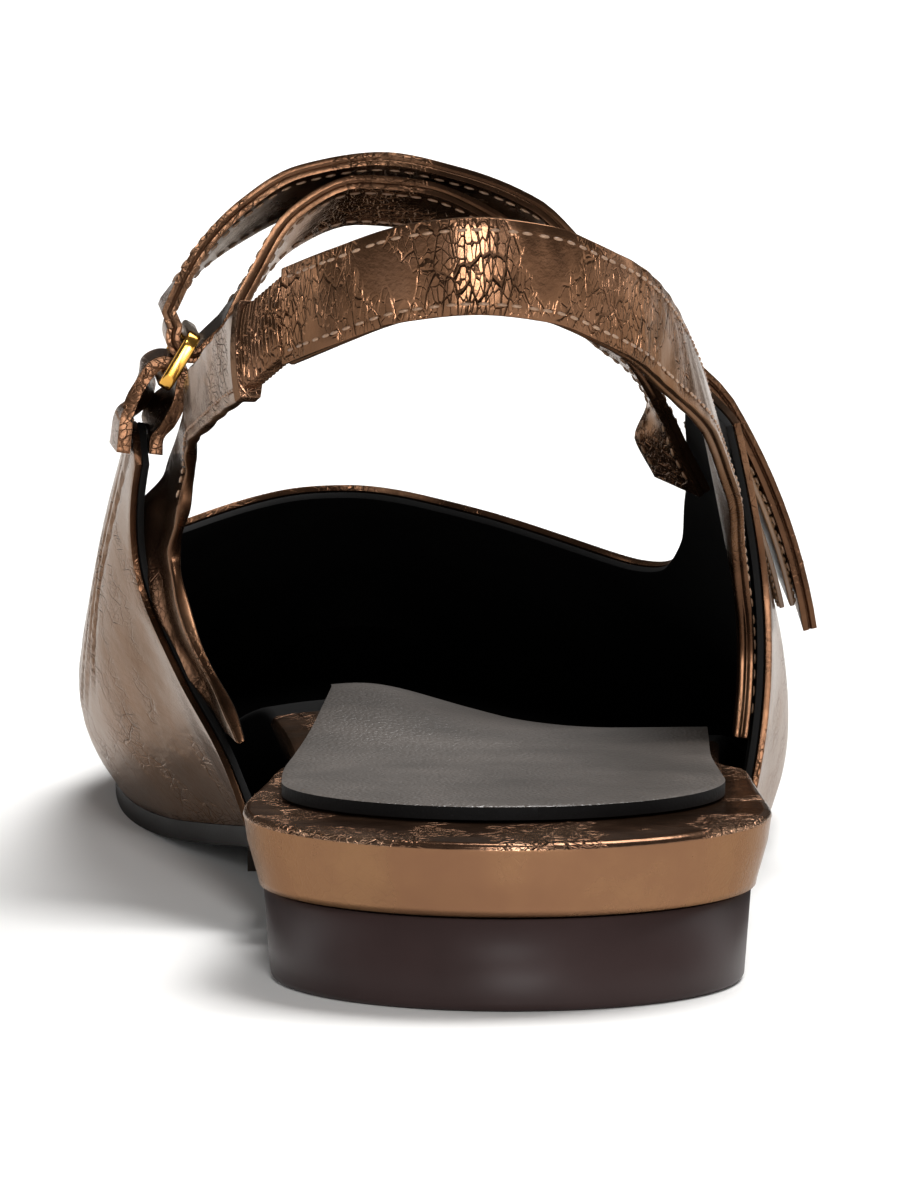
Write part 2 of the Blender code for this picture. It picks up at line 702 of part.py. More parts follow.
def make_instep_strap():
    """One strap: from inside the outer quarter over the instep, round the ring's upper bar and back."""
    centre, down, outward = ring_frame()
    bar = centre - down * (RING_WIDTH - RING_BAR) / 2
    radius = bar_turn(STRAP_THICKNESS)
    half = FORWARD * INSTEP_STRAP_WIDTH / 2
    inside = UPPER_WALL + CLEARANCE + STRAP_THICKNESS / 2
    stack = 2 * TAPE_THICKNESS + 3 * CLEARANCE + STRAP_THICKNESS / 2
    depths = (inside, stack)
    frames = strip_frames(LOWER_LAYER, 1, depths, [i / 20 for i in range(21)])
    for step in range(7):
        angle = math.pi * step / 6
        middle = bar - outward * radius * math.cos(angle) + down * radius * math.sin(angle)
        frames.append((middle, half))
    frames += strip_frames(UPPER_LAYER, 1, depths, [i / 24 for i in range(25)])

    def edges(share):
        place = share * (len(frames) - 1)
        i = min(int(place), len(frames) - 2)
        middle = frames[i][0].lerp(frames[i + 1][0], place - i)
        wide = frames[i][1].lerp(frames[i + 1][1], place - i)
        return middle - wide, middle + wide

    finish("instep_strap", band(2, len(frames) - 1, STRAP_THICKNESS, edges), BRONZE, 0.4)


def make_tapes():
    """Hook tape under the strap's free end, and loop tape on the outer quarter."""
    for name, layer in (("loop_tape", 0), ("hook_tape", 1)):
        lift = CLEARANCE + TAPE_THICKNESS / 2 + layer * (TAPE_THICKNESS + CLEARANCE)

        def edges(share, lift=lift):
            run = mix(TAPE_START, TAPE_END, share)
            low, high = strip_edges(UPPER_LAYER, run, TAPE_WIDTH, 1, (0.0, 0.0))
            return [side_of_last(point.y, point.z, 1, lift) for point in (low, high)]

        finish(name, band(3, 12, TAPE_THICKNESS, edges), BLACK, 0.8)


def make_ring_tab():
    """Leather loop round the ring's lower bar, its two legs sewn to the inner quarter's top edge."""
    centre, down, outward = ring_frame()
    bar = centre + down * (RING_WIDTH - RING_BAR) / 2
    radius = bar_turn(TAB_THICKNESS)
    top = last(centre.y, follow(TOP_EDGE, -0.95, "around")).z
    out_lift = CLEARANCE + TAB_THICKNESS / 2
    in_lift = -(UPPER_WALL + out_lift)
    turn = []
    for step in range(5):
        angle = math.pi * step / 4
        turn.append(bar + outward * radius * math.cos(angle) - down * radius * math.sin(angle))
    outer = [centre + Vector((fold.out, 0.0, fold.up)) * RING_WIDTH for fold in TAB_OUTER]
    inner = [centre + Vector((fold.out, 0.0, fold.up)) * RING_WIDTH for fold in TAB_INNER]
    sides = []
    for sign in (-1, 1):
        half = FORWARD * sign * TAB_WIDTH / 2
        y = centre.y + half.y
        path = [side_of_last(y, height, -1, out_lift) for height in (top - TAB_LEG, top)]
        path += [point + half for point in outer + turn + inner]
        path += [side_of_last(y, height, -1, in_lift) for height in (top - TAB_THICKNESS, top - TAB_LEG)]
        sides.append(path)

    def edges(share):
        return smooth_path(sides[0], share), smooth_path(sides[1], share)

    finish("ring_tab", band(2, 36, TAB_THICKNESS, edges), BRONZE, 0.42)


def main():
    for leftover in list(bpy.data.objects):
        bpy.data.objects.remove(leftover, do_unlink=True)
    bpy.context.scene.collection.children.link(bpy.data.collections.new("sling_back_flat"))
    make_outsole()
    make_heel()
    make_footbed()
    make_heel_pad()
    make_upper()
    make_sling()
    make_instep_strap()
    make_tapes()
    make_ring()
    make_ring_tab()


main()
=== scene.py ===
# %% [markdown]
# # A sling back flat in crackled bronze leather
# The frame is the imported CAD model: it fixes where every piece is and how big it is. This file dresses it.
# Each soft piece is made again from the shoe's own last with many more faces, and then gets its finish.
# A fine mesh made from the same few rules as the CAD solid stays in its place, which a sculpted copy
# would not.

# %% Frame
import bisect
import functools
import math
from typing import NamedTuple

import bmesh
import bpy
from mathutils import Matrix, Vector


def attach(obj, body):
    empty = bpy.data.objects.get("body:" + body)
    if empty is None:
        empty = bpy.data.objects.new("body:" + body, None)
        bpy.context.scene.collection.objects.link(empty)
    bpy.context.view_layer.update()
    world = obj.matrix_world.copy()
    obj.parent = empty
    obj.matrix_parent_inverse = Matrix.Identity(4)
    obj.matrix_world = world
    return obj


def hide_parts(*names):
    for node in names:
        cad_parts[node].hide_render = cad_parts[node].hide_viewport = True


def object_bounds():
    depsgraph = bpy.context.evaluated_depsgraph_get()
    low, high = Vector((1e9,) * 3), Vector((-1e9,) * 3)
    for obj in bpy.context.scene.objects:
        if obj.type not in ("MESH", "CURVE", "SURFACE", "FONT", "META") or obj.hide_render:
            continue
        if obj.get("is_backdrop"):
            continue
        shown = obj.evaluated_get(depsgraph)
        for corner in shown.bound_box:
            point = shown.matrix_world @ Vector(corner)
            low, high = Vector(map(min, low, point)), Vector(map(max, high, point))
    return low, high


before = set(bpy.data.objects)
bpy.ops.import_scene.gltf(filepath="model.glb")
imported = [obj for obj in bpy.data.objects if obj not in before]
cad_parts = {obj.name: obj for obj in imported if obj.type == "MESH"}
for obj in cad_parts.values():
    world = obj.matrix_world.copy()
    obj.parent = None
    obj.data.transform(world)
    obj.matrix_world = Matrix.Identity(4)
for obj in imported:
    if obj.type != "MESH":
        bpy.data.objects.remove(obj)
CAD_LOW, CAD_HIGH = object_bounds()
LENGTH = CAD_HIGH.y - CAD_LOW.y
HEEL_BACK = CAD_LOW.y
MM = 0.001
print(f"the shoe is {LENGTH / MM:.0f} mm long and its back is at y = {HEEL_BACK / MM:.0f} mm")

# %% [markdown]
# ## The camera and the light
# The photograph was taken from behind with a long lens, a little above the floor and a little to the inner
# side. The camera is placed by that angle and aimed at the instep. The floor is lit white from above and the
# room is dim, so the foil is dark where it faces the camera and silvery where it turns away. A small card
# near the floor behind the camera's line gives the bright spot in the middle of the sling strap.

# %% Camera
YAW = math.radians(-3.5)
PITCH = math.radians(6.5)
DISTANCE = 1.3806
AIM = Vector((-0.0031, 0.080 + HEEL_BACK, 0.0349))
FOCAL_LENGTH = 373.65


def make_camera():
    """The photograph's view of the shoe."""
    data = bpy.data.cameras.new("camera")
    data.lens = FOCAL_LENGTH
    data.sensor_width = 36
    data.clip_start = 0.05
    data.clip_end = 20
    camera = bpy.data.objects.new("camera", data)
    bpy.context.scene.collection.objects.link(camera)
    level = math.cos(PITCH)
    look = Vector((-math.sin(YAW) * level, math.cos(YAW) * level, -math.sin(PITCH)))
    camera.location = AIM - look * DISTANCE
    camera.rotation_mode = "QUATERNION"
    camera.rotation_quaternion = look.to_track_quat("-Z", "Y")
    bpy.context.scene.camera = camera
    return camera


camera = make_camera()
print(f"camera at {[round(c, 3) for c in camera.location]} with a {FOCAL_LENGTH:.0f} mm lens")

# %% Node helper and colours


def colour(code):
    """An sRGB hex colour as the linear numbers that Blender's shaders use."""
    channels = [int(code[i:i + 2], 16) / 255 for i in (1, 3, 5)]
    linear = [c / 12.92 if c <= 0.04045 else ((c + 0.055) / 1.055) ** 2.4 for c in channels]
    return (*linear, 1.0)


def add_node(material, kind, settings=None, links=None, **values):
    """Adds a node: settings are its properties, links its sockets fed by others, values its own numbers."""
    node = material.node_tree.nodes.new(kind)
    for name, value in (settings or {}).items():
        setattr(node, name, value)
    for name, value in values.items():
        node.inputs[name.replace("_", " ")].default_value = value
    for name, source in (links or {}).items():
        material.node_tree.links.new(source, node.inputs[name])
    return node


def new_material(name, **values):
    """A material and its Principled shader, with the shader's own numbers set."""
    material = bpy.data.materials.new(name)
    material.use_nodes = True
    shader = material.node_tree.nodes["Principled BSDF"]
    for key, value in values.items():
        shader.inputs[key.replace("_", " ")].default_value = value
    return material, shader


def ramp(material, source, stops):
    """A colour ramp on a source socket, from (position, colour) stops."""
    node = add_node(material, "ShaderNodeValToRGB", links={"Fac": source})
    elements = node.color_ramp.elements
    while len(elements) < len(stops):
        elements.new(0.5)
    for element, (position, value) in zip(elements, stops):
        element.position = position
        element.color = value
    return node.outputs["Color"]


def grey(value):
    return (value, value, value, 1.0)


print("helpers ready")

# %% Studio
FLOOR_HALF = 3.0
AIMS = {"backdrop_box": (0.0, 3.0, 0.04)}


def make_studio():
    """A wide pale floor, soft boxes over and beside it, and a dim room."""
    material, _ = new_material("studio_paper", Base_Color=colour("#f6f5f3"), Roughness=0.9)
    mesh = bmesh.new()
    bmesh.ops.create_grid(mesh, x_segments=2, y_segments=2, size=FLOOR_HALF)
    data = bpy.data.meshes.new("studio_floor")
    mesh.to_mesh(data)
    mesh.free()
    data.materials.append(material)
    floor = bpy.data.objects.new("studio_floor", data)
    bpy.context.scene.collection.objects.link(floor)
    floor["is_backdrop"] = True

    world = bpy.data.worlds.new("studio_room")
    bpy.context.scene.world = world
    world.use_nodes = True
    world.node_tree.nodes["Background"].inputs["Color"].default_value = (1.0, 1.0, 1.0, 1.0)
    world.node_tree.nodes["Background"].inputs["Strength"].default_value = 0.10
    bpy.context.scene.view_settings.view_transform = "Standard"

    for name, place, width, height, power in (
        ("overhead_box", (0.45, 0.40, 1.4), 1.0, 0.9, 30.0),
        ("backdrop_box", (0.0, 1.3, 1.4), 2.4, 0.8, 42.0),
        ("left_card", (-0.95, 0.55, 0.35), 0.3, 0.7, 1.8),
        ("right_card", (0.95, 0.55, 0.35), 0.3, 0.7, 1.6),
        ("key_box", (-0.06, -1.00, 0.80), 0.22, 0.22, 5.0),
        ("glint_card", (0.015, -0.62, 0.04), 0.22, 0.12, 2.2),
    ):
        light = bpy.data.lights.new(name, "AREA")
        light.shape = "RECTANGLE"
        light.size = width
        light.size_y = height
        light.energy = power
        box = bpy.data.objects.new(name, light)
        box.location = place
        box.visible_camera = False
        aim = Vector(AIMS.get(name, (0.0, 0.05, 0.04))) - box.location
        box.rotation_mode = "QUATERNION"
        box.rotation_quaternion = aim.to_track_quat("-Z", "Y")
        bpy.context.scene.collection.objects.link(box)


make_studio()
print(f"studio floor of {2 * FLOOR_HALF:.0f} m with {len(bpy.data.lights)} soft boxes")

# %% [markdown]
# ## The leathers
# The outside is goatskin with a metallic foil, which cracks into fine flakes where it is folded. A foil is
# nearly a metal, so metallic is high, and the cracks are slightly darker lines that dip below it. They are
# the edges of Voronoi cells under 2 mm wide, drawn out along the crease direction, and a slow noise lets
# them come and go, as on real foil. Everything reads Object coordinates, so a pattern stays on its piece.

# %% Bronze leather
CELL = 1.7 * MM
GRAIN = 0.5 * MM


FOIL_TONES = ("#5c4231", "#6f4f39", "#82604a")
EVEN = (1.0, 1.0, 1.0)
UNTURNED = (0.0, 0.0, 0.0)


def bronze_leather(name, stretch, turn, crack, pull_depth=0.5 * MM, tone=FOIL_TONES, gloss=0.2):
    """Foiled leather: stretch and turn draw out its pattern, crack and pull_depth are its cracks and folds."""
    material, shader = new_material(name, Metallic=0.92, Specular_Tint=colour("#cfc4ba"))
    place = add_node(material, "ShaderNodeTexCoord").outputs["Object"]
    turned = add_node(
        material, "ShaderNodeMapping", links={"Vector": place}, Scale=stretch, Rotation=turn
    ).outputs["Vector"]
    bend = add_node(
        material, "ShaderNodeTexNoise", links={"Vector": turned}, Scale=0.16 / CELL, Detail=3.0
    ).outputs["Color"]
    warped = add_node(
        material, "ShaderNodeMix", {"data_type": "VECTOR"}, {4: turned, 5: bend}
    )
    warped.inputs[0].default_value = 0.004
    cells = add_node(
        material, "ShaderNodeTexVoronoi", {"feature": "DISTANCE_TO_EDGE"},
        {"Vector": warped.outputs[1]}, Scale=1.0 / CELL,
    ).outputs["Distance"]
    lines = ramp(material, cells, [(0.0, grey(0.0)), (0.055, grey(1.0))])
    fine_cells = add_node(
        material, "ShaderNodeTexVoronoi", {"feature": "DISTANCE_TO_EDGE"},
        {"Vector": warped.outputs[1]}, Scale=2.6 / CELL,
    ).outputs["Distance"]
    fine_lines = ramp(material, fine_cells, [(0.0, grey(0.3)), (0.08, grey(1.0))])
    patches = add_node(
        material, "ShaderNodeTexNoise", links={"Vector": place}, Scale=75.0, Detail=2.0
    ).outputs["Fac"]
    worn = ramp(material, patches, [(0.48, grey(0.0)), (0.60, grey(1.0))])
    cracks = add_node(
        material, "ShaderNodeMix", {"data_type": "RGBA", "blend_type": "MULTIPLY"}, {6: lines, 7: fine_lines}
    )
    cracks.inputs[0].default_value = 0.6
    shown = add_node(
        material, "ShaderNodeMix", {"data_type": "RGBA"}, {0: worn, 7: cracks.outputs[2]}
    )
    shown.inputs[6].default_value = grey(1.0)
    mottle = add_node(
        material, "ShaderNodeTexNoise", links={"Vector": place}, Scale=70.0, Detail=5.0, Roughness=0.6
    ).outputs["Fac"]
    tones = ramp(
        material, mottle, [(0.3, colour(tone[0])), (0.5, colour(tone[1])), (0.7, colour(tone[2]))]
    )
    dark = add_node(
        material, "ShaderNodeMix", {"data_type": "RGBA", "blend_type": "MULTIPLY"},
        {6: tones, 7: shown.outputs[2]},
    )
    dark.inputs[0].default_value = 0.3 * crack
    shine = add_node(
        material, "ShaderNodeMapRange", links={"Value": mottle}, To_Min=gloss - 0.05, To_Max=gloss + 0.1
    ).outputs["Result"]
    grain = add_node(
        material, "ShaderNodeTexNoise", links={"Vector": place}, Scale=1.0 / GRAIN, Detail=3.0
    ).outputs["Fac"]
    relief = add_node(
        material, "ShaderNodeBump", links={"Height": shown.outputs[2]}, Strength=crack, Distance=0.3 * MM
    )
    relief = add_node(
        material, "ShaderNodeBump", links={"Height": grain, "Normal": relief.outputs["Normal"]},
        Strength=0.35, Distance=0.06 * MM,
    )
    pull = add_node(
        material, "ShaderNodeTexNoise", links={"Vector": turned}, Scale=110.0, Detail=4.0
    ).outputs["Fac"]
    relief = add_node(
        material, "ShaderNodeBump", links={"Height": pull, "Normal": relief.outputs["Normal"]},
        Strength=0.6, Distance=pull_depth,
    )
    tree = material.node_tree
    tree.links.new(dark.outputs[2], shader.inputs["Base Color"])
    tree.links.new(shine, shader.inputs["Roughness"])
    tree.links.new(relief.outputs["Normal"], shader.inputs["Normal"])
    return material


STRAP_LEATHER = bronze_leather("strap_foil_leather", (1.0, 1.0, 0.42), UNTURNED, 1.0, 0.35 * MM)
BAND_LEATHER = bronze_leather("instep_strap_foil_leather", EVEN, UNTURNED, 0.7)
UPPER_LEATHER = bronze_leather(
    "upper_foil_leather", (1.0, 0.30, 1.0), (math.radians(35), 0.0, 0.0), 0.4, 1.1 * MM,
    ("#543d2f", "#654a39", "#775a46"),
)
BASE_LEATHER = bronze_leather(
    "sling_base_foil_leather", (1.0, 0.4, 1.0), (math.radians(-50), 0.0, 0.0), 0.4, 1.2 * MM,
    ("#523b2d", "#654a39", "#785a45"),
)
SEAT_LEATHER = bronze_leather(
    "seat_foil_leather", (0.6, 1.0, 1.0), (0.0, 0.0, 0.5), 1.0, 0.8 * MM, ("#4a3528", "#755744", "#a08069")
)
GATHER_LEATHER = bronze_leather("gathered_foil_leather", (1.0, 1.0, 0.3), UNTURNED, 0.6)
RIM_LEATHER = bronze_leather(
    "rim_foil_leather", EVEN, UNTURNED, 0.1, 0.12 * MM, ("#785640", "#805d44", "#896649"), 0.24
)
EDGE_LEATHER = bronze_leather(
    "edge_foil_leather", EVEN, UNTURNED, 0.3, 0.2 * MM, ("#3c291d", "#5a3f2d", "#7c5c45"), 0.26
)
print("bronze leathers:", ", ".join(m.name for m in bpy.data.materials if "foil" in m.name))

# %% [markdown]
# ## Lining, pad, heel, thread and metal
# The lining and the sock are drum-dyed leather, black with a soft sheen: a dielectric, so metallic is 0 and
# a fine grain breaks its gloss. The heel is lacquered stacked board, smooth and dark brown. The ring is a
# zinc casting with a gold flash, a true metal with almost no roughness.

# %% Plain finishes


def grained(name, tone, light_tone, roughness, grain, depth, gleam=0.5, coat=0.0):
    """A dyed surface with two near tones and a fine grain."""
    material, shader = new_material(
        name, Roughness=roughness, Specular_IOR_Level=gleam, Coat_Weight=coat, Coat_Roughness=0.3
    )
    place = add_node(material, "ShaderNodeTexCoord").outputs["Object"]
    mottle = add_node(
        material, "ShaderNodeTexNoise", links={"Vector": place}, Scale=90.0, Detail=4.0
    ).outputs["Fac"]
    tones = ramp(material, mottle, [(0.3, colour(tone)), (0.7, colour(light_tone))])
    pores = add_node(
        material, "ShaderNodeTexVoronoi", {"feature": "SMOOTH_F1"}, {"Vector": place}, Scale=1.0 / grain
    ).outputs["Distance"]
    relief = add_node(
        material, "ShaderNodeBump", links={"Height": pores}, Strength=0.5, Distance=depth
    ).outputs["Normal"]
    shine = add_node(
        material, "ShaderNodeMapRange", links={"Value": mottle}, To_Min=roughness - 0.06,
        To_Max=roughness + 0.08,
    ).outputs["Result"]
    tree = material.node_tree
    tree.links.new(tones, shader.inputs["Base Color"])
    tree.links.new(shine, shader.inputs["Roughness"])
    tree.links.new(relief, shader.inputs["Normal"])
    return material


LINING = grained("black_lining_leather", "#050404", "#090807", 0.7, 0.6 * MM, 0.04 * MM, gleam=0.15)
# The sock is black leather. Its grey base colour is a painted sheen, standing in for the white floor it
# reflects.
SHEEN_PAINTED_SOCK = grained("black_sock_leather_painted_sheen", "#4b4540", "#5a524c", 0.36, 0.4 * MM, 0.30 * MM, gleam=1.0)
SOCK_CUT = grained("sock_cut_edge", "#080707", "#0f0e0e", 0.7, 0.4 * MM, 0.05 * MM, gleam=0.1)
HEEL_LACQUER = grained("dark_heel_lacquer", "#2f2423", "#362a29", 0.4, 0.9 * MM, 0.012 * MM, gleam=0.12)
SOLE_RUBBER = grained("dark_sole_rubber", "#0e0a08", "#17110e", 0.5, 0.7 * MM, 0.02 * MM, gleam=0.05)
THREAD = grained("bronze_thread", "#765842", "#9a7c63", 0.4, 0.2 * MM, 0.05 * MM)
TAPE = grained("fastening_tape", "#4d3726", "#86664a", 0.3, 0.5 * MM, 0.08 * MM, coat=0.3)


def gold_plate():
    """Gold flash over a zinc casting, with the faint waviness that polishing leaves."""
    material, shader = new_material("gold_flash", Metallic=1.0, Base_Color=colour("#d8a24a"))
    place = add_node(material, "ShaderNodeTexCoord").outputs["Object"]
    smear = add_node(
        material, "ShaderNodeTexNoise", links={"Vector": place}, Scale=600.0, Detail=2.0
    ).outputs["Fac"]
    shine = add_node(
        material, "ShaderNodeMapRange", links={"Value": smear}, To_Min=0.1, To_Max=0.24
    ).outputs["Result"]
    relief = add_node(
        material, "ShaderNodeBump", links={"Height": smear}, Strength=0.15, Distance=0.05 * MM
    ).outputs["Normal"]
    material.node_tree.links.new(shine, shader.inputs["Roughness"])
    material.node_tree.links.new(relief, shader.inputs["Normal"])
    return material


GOLD = gold_plate()
print(f"{len(bpy.data.materials)} materials so far")

# %% [markdown]
# ## The last
# A shoe is built on a last, a form of the foot. Here it is a set of sections along the foot, and each section
# is a pair of curves from the sole's edge up to the crown. Every leather piece takes its place from it, so
# the pieces fit each other. These are the same shares of length, ball width and instep height as the CAD's.

# %% Sizes of the last
BALL_WIDTH = 0.084
INSTEP_HEIGHT = 0.0805
SEAT_HEIGHT = 0.0183
ARCH_RISE = 0.0077
TOE_SPRING = 0.0066
TREAD_START = 0.158
HEEL_BREAST = 0.058
TREAD_END = 0.198
HEEL_ROUND = 0.030
TOE_ROUND = 0.012
CLEARANCE = 0.0003
OUTSOLE_THICKNESS = 0.0023
FOOTBED_THIN = 0.0025
UPPER_WALL = 0.0016


class Section(NamedTuple):
    """A section of the last: along of LENGTH, height of INSTEP_HEIGHT, the others of BALL_WIDTH."""

    along: float
    axis: float
    half: float
    crown: float
    height: float
    bulge_in: float
    rise_in: float
    reach_in: float
    bulge_out: float
    rise_out: float
    reach_out: float


SECTIONS = [
    Section(0.000, 0.000, 0.337, -0.080, 1.200, 0.08, 0.60, 0.21, 0.10, 0.50, 0.31),
    Section(0.110, 0.000, 0.337, -0.080, 1.190, 0.12, 0.60, 0.21, 0.10, 0.50, 0.31),
    Section(0.190, 0.006, 0.331, -0.090, 1.170, 0.16, 0.60, 0.21, 0.11, 0.50, 0.31),
    Section(0.229, 0.012, 0.327, -0.095, 1.143, 0.20, 0.60, 0.21, 0.12, 0.50, 0.31),
    Section(0.286, 0.025, 0.326, -0.107, 1.081, 0.26, 0.60, 0.21, 0.13, 0.50, 0.31),
    Section(0.340, 0.035, 0.328, -0.120, 1.037, 0.33, 0.60, 0.21, 0.13, 0.50, 0.32),
    Section(0.382, 0.043, 0.337, -0.131, 0.997, 0.35, 0.62, 0.21, 0.14, 0.50, 0.34),
    Section(0.458, 0.042, 0.375, -0.125, 0.857, 0.34, 0.57, 0.21, 0.14, 0.48, 0.34),
    Section(0.534, 0.031, 0.417, -0.119, 0.718, 0.28, 0.50, 0.21, 0.13, 0.41, 0.30),
    Section(0.630, 0.011, 0.442, -0.119, 0.558, 0.20, 0.45, 0.20, 0.17, 0.35, 0.19),
    Section(0.710, -0.012, 0.424, -0.107, 0.456, 0.14, 0.45, 0.19, 0.15, 0.35, 0.17),
    Section(0.782, -0.035, 0.357, -0.095, 0.391, 0.09, 0.45, 0.15, 0.11, 0.40, 0.14),
    Section(0.859, -0.045, 0.253, -0.071, 0.326, 0.07, 0.50, 0.11, 0.07, 0.45, 0.11),
    Section(0.935, -0.044, 0.148, -0.054, 0.260, 0.05, 0.50, 0.06, 0.05, 0.50, 0.06),
    Section(1.000, -0.042, 0.110, -0.044, 0.202, 0.04, 0.50, 0.05, 0.04, 0.50, 0.05),
]
print(f"{len(SECTIONS)} sections over {LENGTH / MM:.0f} mm")

# %% Curves of the last


def ease(t):
    """Smooth step from 0 to 1."""
    t = min(max(t, 0.0), 1.0)
    return t * t * (3.0 - 2.0 * t)


def mix(a, b, t):
    return a + (b - a) * t


def follow(rows, place, column):
    """One column of a table, on a smooth curve through its rows that never swings past a row."""
    last_row = len(rows) - 1
    place = min(max(place, rows[0][0]), rows[-1][0])
    i = min(max(bisect.bisect_right(rows, place, key=lambda row: row[0]) - 1, 0), last_row - 1)

    def slope_after(k):
        return (getattr(rows[k + 1], column) - getattr(rows[k], column)) / (rows[k + 1][0] - rows[k][0])

    def slope(k):
        if k in (0, last_row):
            return slope_after(min(k, last_row - 1))
        before = slope_after(k - 1)
        after = slope_after(k)
        return 0.0 if before * after <= 0.0 else 2.0 * before * after / (before + after)

    span = rows[i + 1][0] - rows[i][0]
    t = (place - rows[i][0]) / span
    start = getattr(rows[i], column)
    rise = getattr(rows[i + 1], column) - start
    leave = slope(i) * span
    arrive = slope(i + 1) * span
    return start + t * leave + t * t * (3 * rise - 2 * leave - arrive) + t**3 * (leave + arrive - 2 * rise)


def end_round(y, inset=0.0):
    """How much of its full width a form has at y: under 1 only in the round of the heel and of the toe."""
    toe = LENGTH - TOE_ROUND
    if y < HEEL_ROUND:
        reach = (HEEL_ROUND - y) / (HEEL_ROUND - inset)
    elif y > toe:
        reach = (y - toe) / (TOE_ROUND - inset)
    else:
        return 1.0
    return math.sqrt(max(0.0, 1.0 - reach * reach))


def sole_lift(y):
    """Height of the outsole's underside: the arch behind the tread and the toe spring in front of it."""
    if y < TREAD_START:
        return ARCH_RISE * ease((TREAD_START - y) / (TREAD_START - HEEL_BREAST))
    if y > TREAD_END:
        return TOE_SPRING * ((y - TREAD_END) / (LENGTH - TREAD_END)) ** 1.6
    return 0.0


def feather_height(y):
    """Height of the upper's lower edge, just over the outsole."""
    return sole_lift(y) + OUTSOLE_THICKNESS + CLEARANCE


def outline(y, inset=0.0):
    """The inner and the outer edge of the feather line at y, drawn in by inset."""
    along = y / LENGTH
    middle = follow(SECTIONS, along, "axis") * BALL_WIDTH
    full = follow(SECTIONS, along, "half") * BALL_WIDTH
    half = max(full - inset, 0.0) * end_round(y, inset)
    return middle - half, middle + half


@functools.cache
def section_curves(y):
    """The inner and the outer curve of the section at y, each as four control points (x, z)."""
    along = min(max(y / LENGTH, 0.0), 1.0)
    cap = end_round(y)
    edges = outline(y)
    low = feather_height(y)
    height = (follow(SECTIONS, along, "height") * INSTEP_HEIGHT - low) * cap
    middle = follow(SECTIONS, along, "axis")
    crown = mix(middle, follow(SECTIONS, along, "crown"), cap) * BALL_WIDTH
    curves = []
    for sign, side, edge in ((-1, "_in", edges[0]), (1, "_out", edges[1])):
        bulge = sign * follow(SECTIONS, along, "bulge" + side) * BALL_WIDTH * cap
        rise = follow(SECTIONS, along, "rise" + side) * height
        reach = sign * follow(SECTIONS, along, "reach" + side) * BALL_WIDTH * cap
        curves.append(
            ((edge, low), (edge + bulge, low + rise), (crown + reach, low + height), (crown, low + height))
        )
    return curves


def last(y, around):
    """A point outside the upper: around is 0 at the inner feather edge, 0.5 on the crown, 1 at the outer."""
    curve = section_curves(y)[0 if around <= 0.5 else 1]
    t = min(around, 1.0 - around) / 0.5
    weights = ((1 - t) ** 3, 3 * t * (1 - t) ** 2, 3 * t * t * (1 - t), t**3)
    x = sum(weight * point[0] for weight, point in zip(weights, curve))
    z = sum(weight * point[1] for weight, point in zip(weights, curve))
    return Vector((x, y, z))


def last_normal(y, around):
    """The outward direction of last(), from a small step along it and one round it."""
    step = 0.0008
    y = min(max(y, 2 * step), LENGTH - 2 * step)
    around = min(max(around, 0.004), 0.996)
    along = last(y + step, around) - last(y - step, around)
    across = last(y, around + 0.004) - last(y, around - 0.004)
    return along.cross(across).normalized() * -1.0


def around_at(y, height, side):
    """The place round the section where last() has this height, on the side -1 (inner) or 1 (outer)."""
    low, high = 0.0, 0.5
    for _ in range(18):
        guess = (low + high) / 2
        if last(y, guess if side < 0 else 1.0 - guess).z < height:
            low = guess
        else:
            high = guess
    return low if side < 0 else 1.0 - low


def side_of_last(y, height, side, lift):
    """The point at a distance lift outside the last, beside its point at this y and height."""
    around = around_at(y, height, side)
    return last(y, around) + last_normal(y, around) * lift


print(f"crown over the instep: {last(0.382 * LENGTH, 0.5).z / MM:.1f} mm high")

# %% [markdown]
# ## From a flat grid to a piece
# Every leather piece starts as a flat grid. The grid is extruded once for each layer, which closes it, and
# then each point is moved to where its place along, across and through the leather puts it. Working from
# one grid keeps the faces even, so creases and bevels come out clean. Faces remember which side they are
# on, so the foiled outside, the dark inside and the cut edge get their own finish.

# %% Sheet and finishing helpers
MERGE = 0.002 * MM
OUTSIDE, INSIDE, EDGE = 0, 1, 2


def by_side(low, high, u, v):
    """Finish of a face of a sheet whose last layer is the outside."""
    return EDGE if low != high else OUTSIDE if high else INSIDE


def by_side_turned(low, high, u, v):
    """The same for a sheet whose first layer is the outside."""
    return EDGE if low != high else INSIDE if high else OUTSIDE


def sheet(across, along, levels, place, finish_of=by_side):
    """A closed form grown from a grid through levels, each point set by place(u, v, level)."""
    mesh = bmesh.new()
    bmesh.ops.create_grid(mesh, x_segments=across, y_segments=along, size=1.0)
    faces = mesh.faces[:]
    for level in range(1, levels):
        grown = bmesh.ops.extrude_face_region(mesh, geom=faces)["geom"]
        if level > 1:
            bmesh.ops.delete(mesh, geom=faces, context="FACES")
        faces = [item for item in grown if isinstance(item, bmesh.types.BMFace)]
        for item in grown:
            if isinstance(item, bmesh.types.BMVert):
                item.co.z = level
    for face in mesh.faces:
        heights = [round(vert.co.z) for vert in face.verts]
        middle = face.calc_center_median()
        face.material_index = finish_of(min(heights), max(heights), middle.x, middle.y)
    for vert in mesh.verts:
        vert.co = place(vert.co.x, vert.co.y, round(vert.co.z))
    return mesh


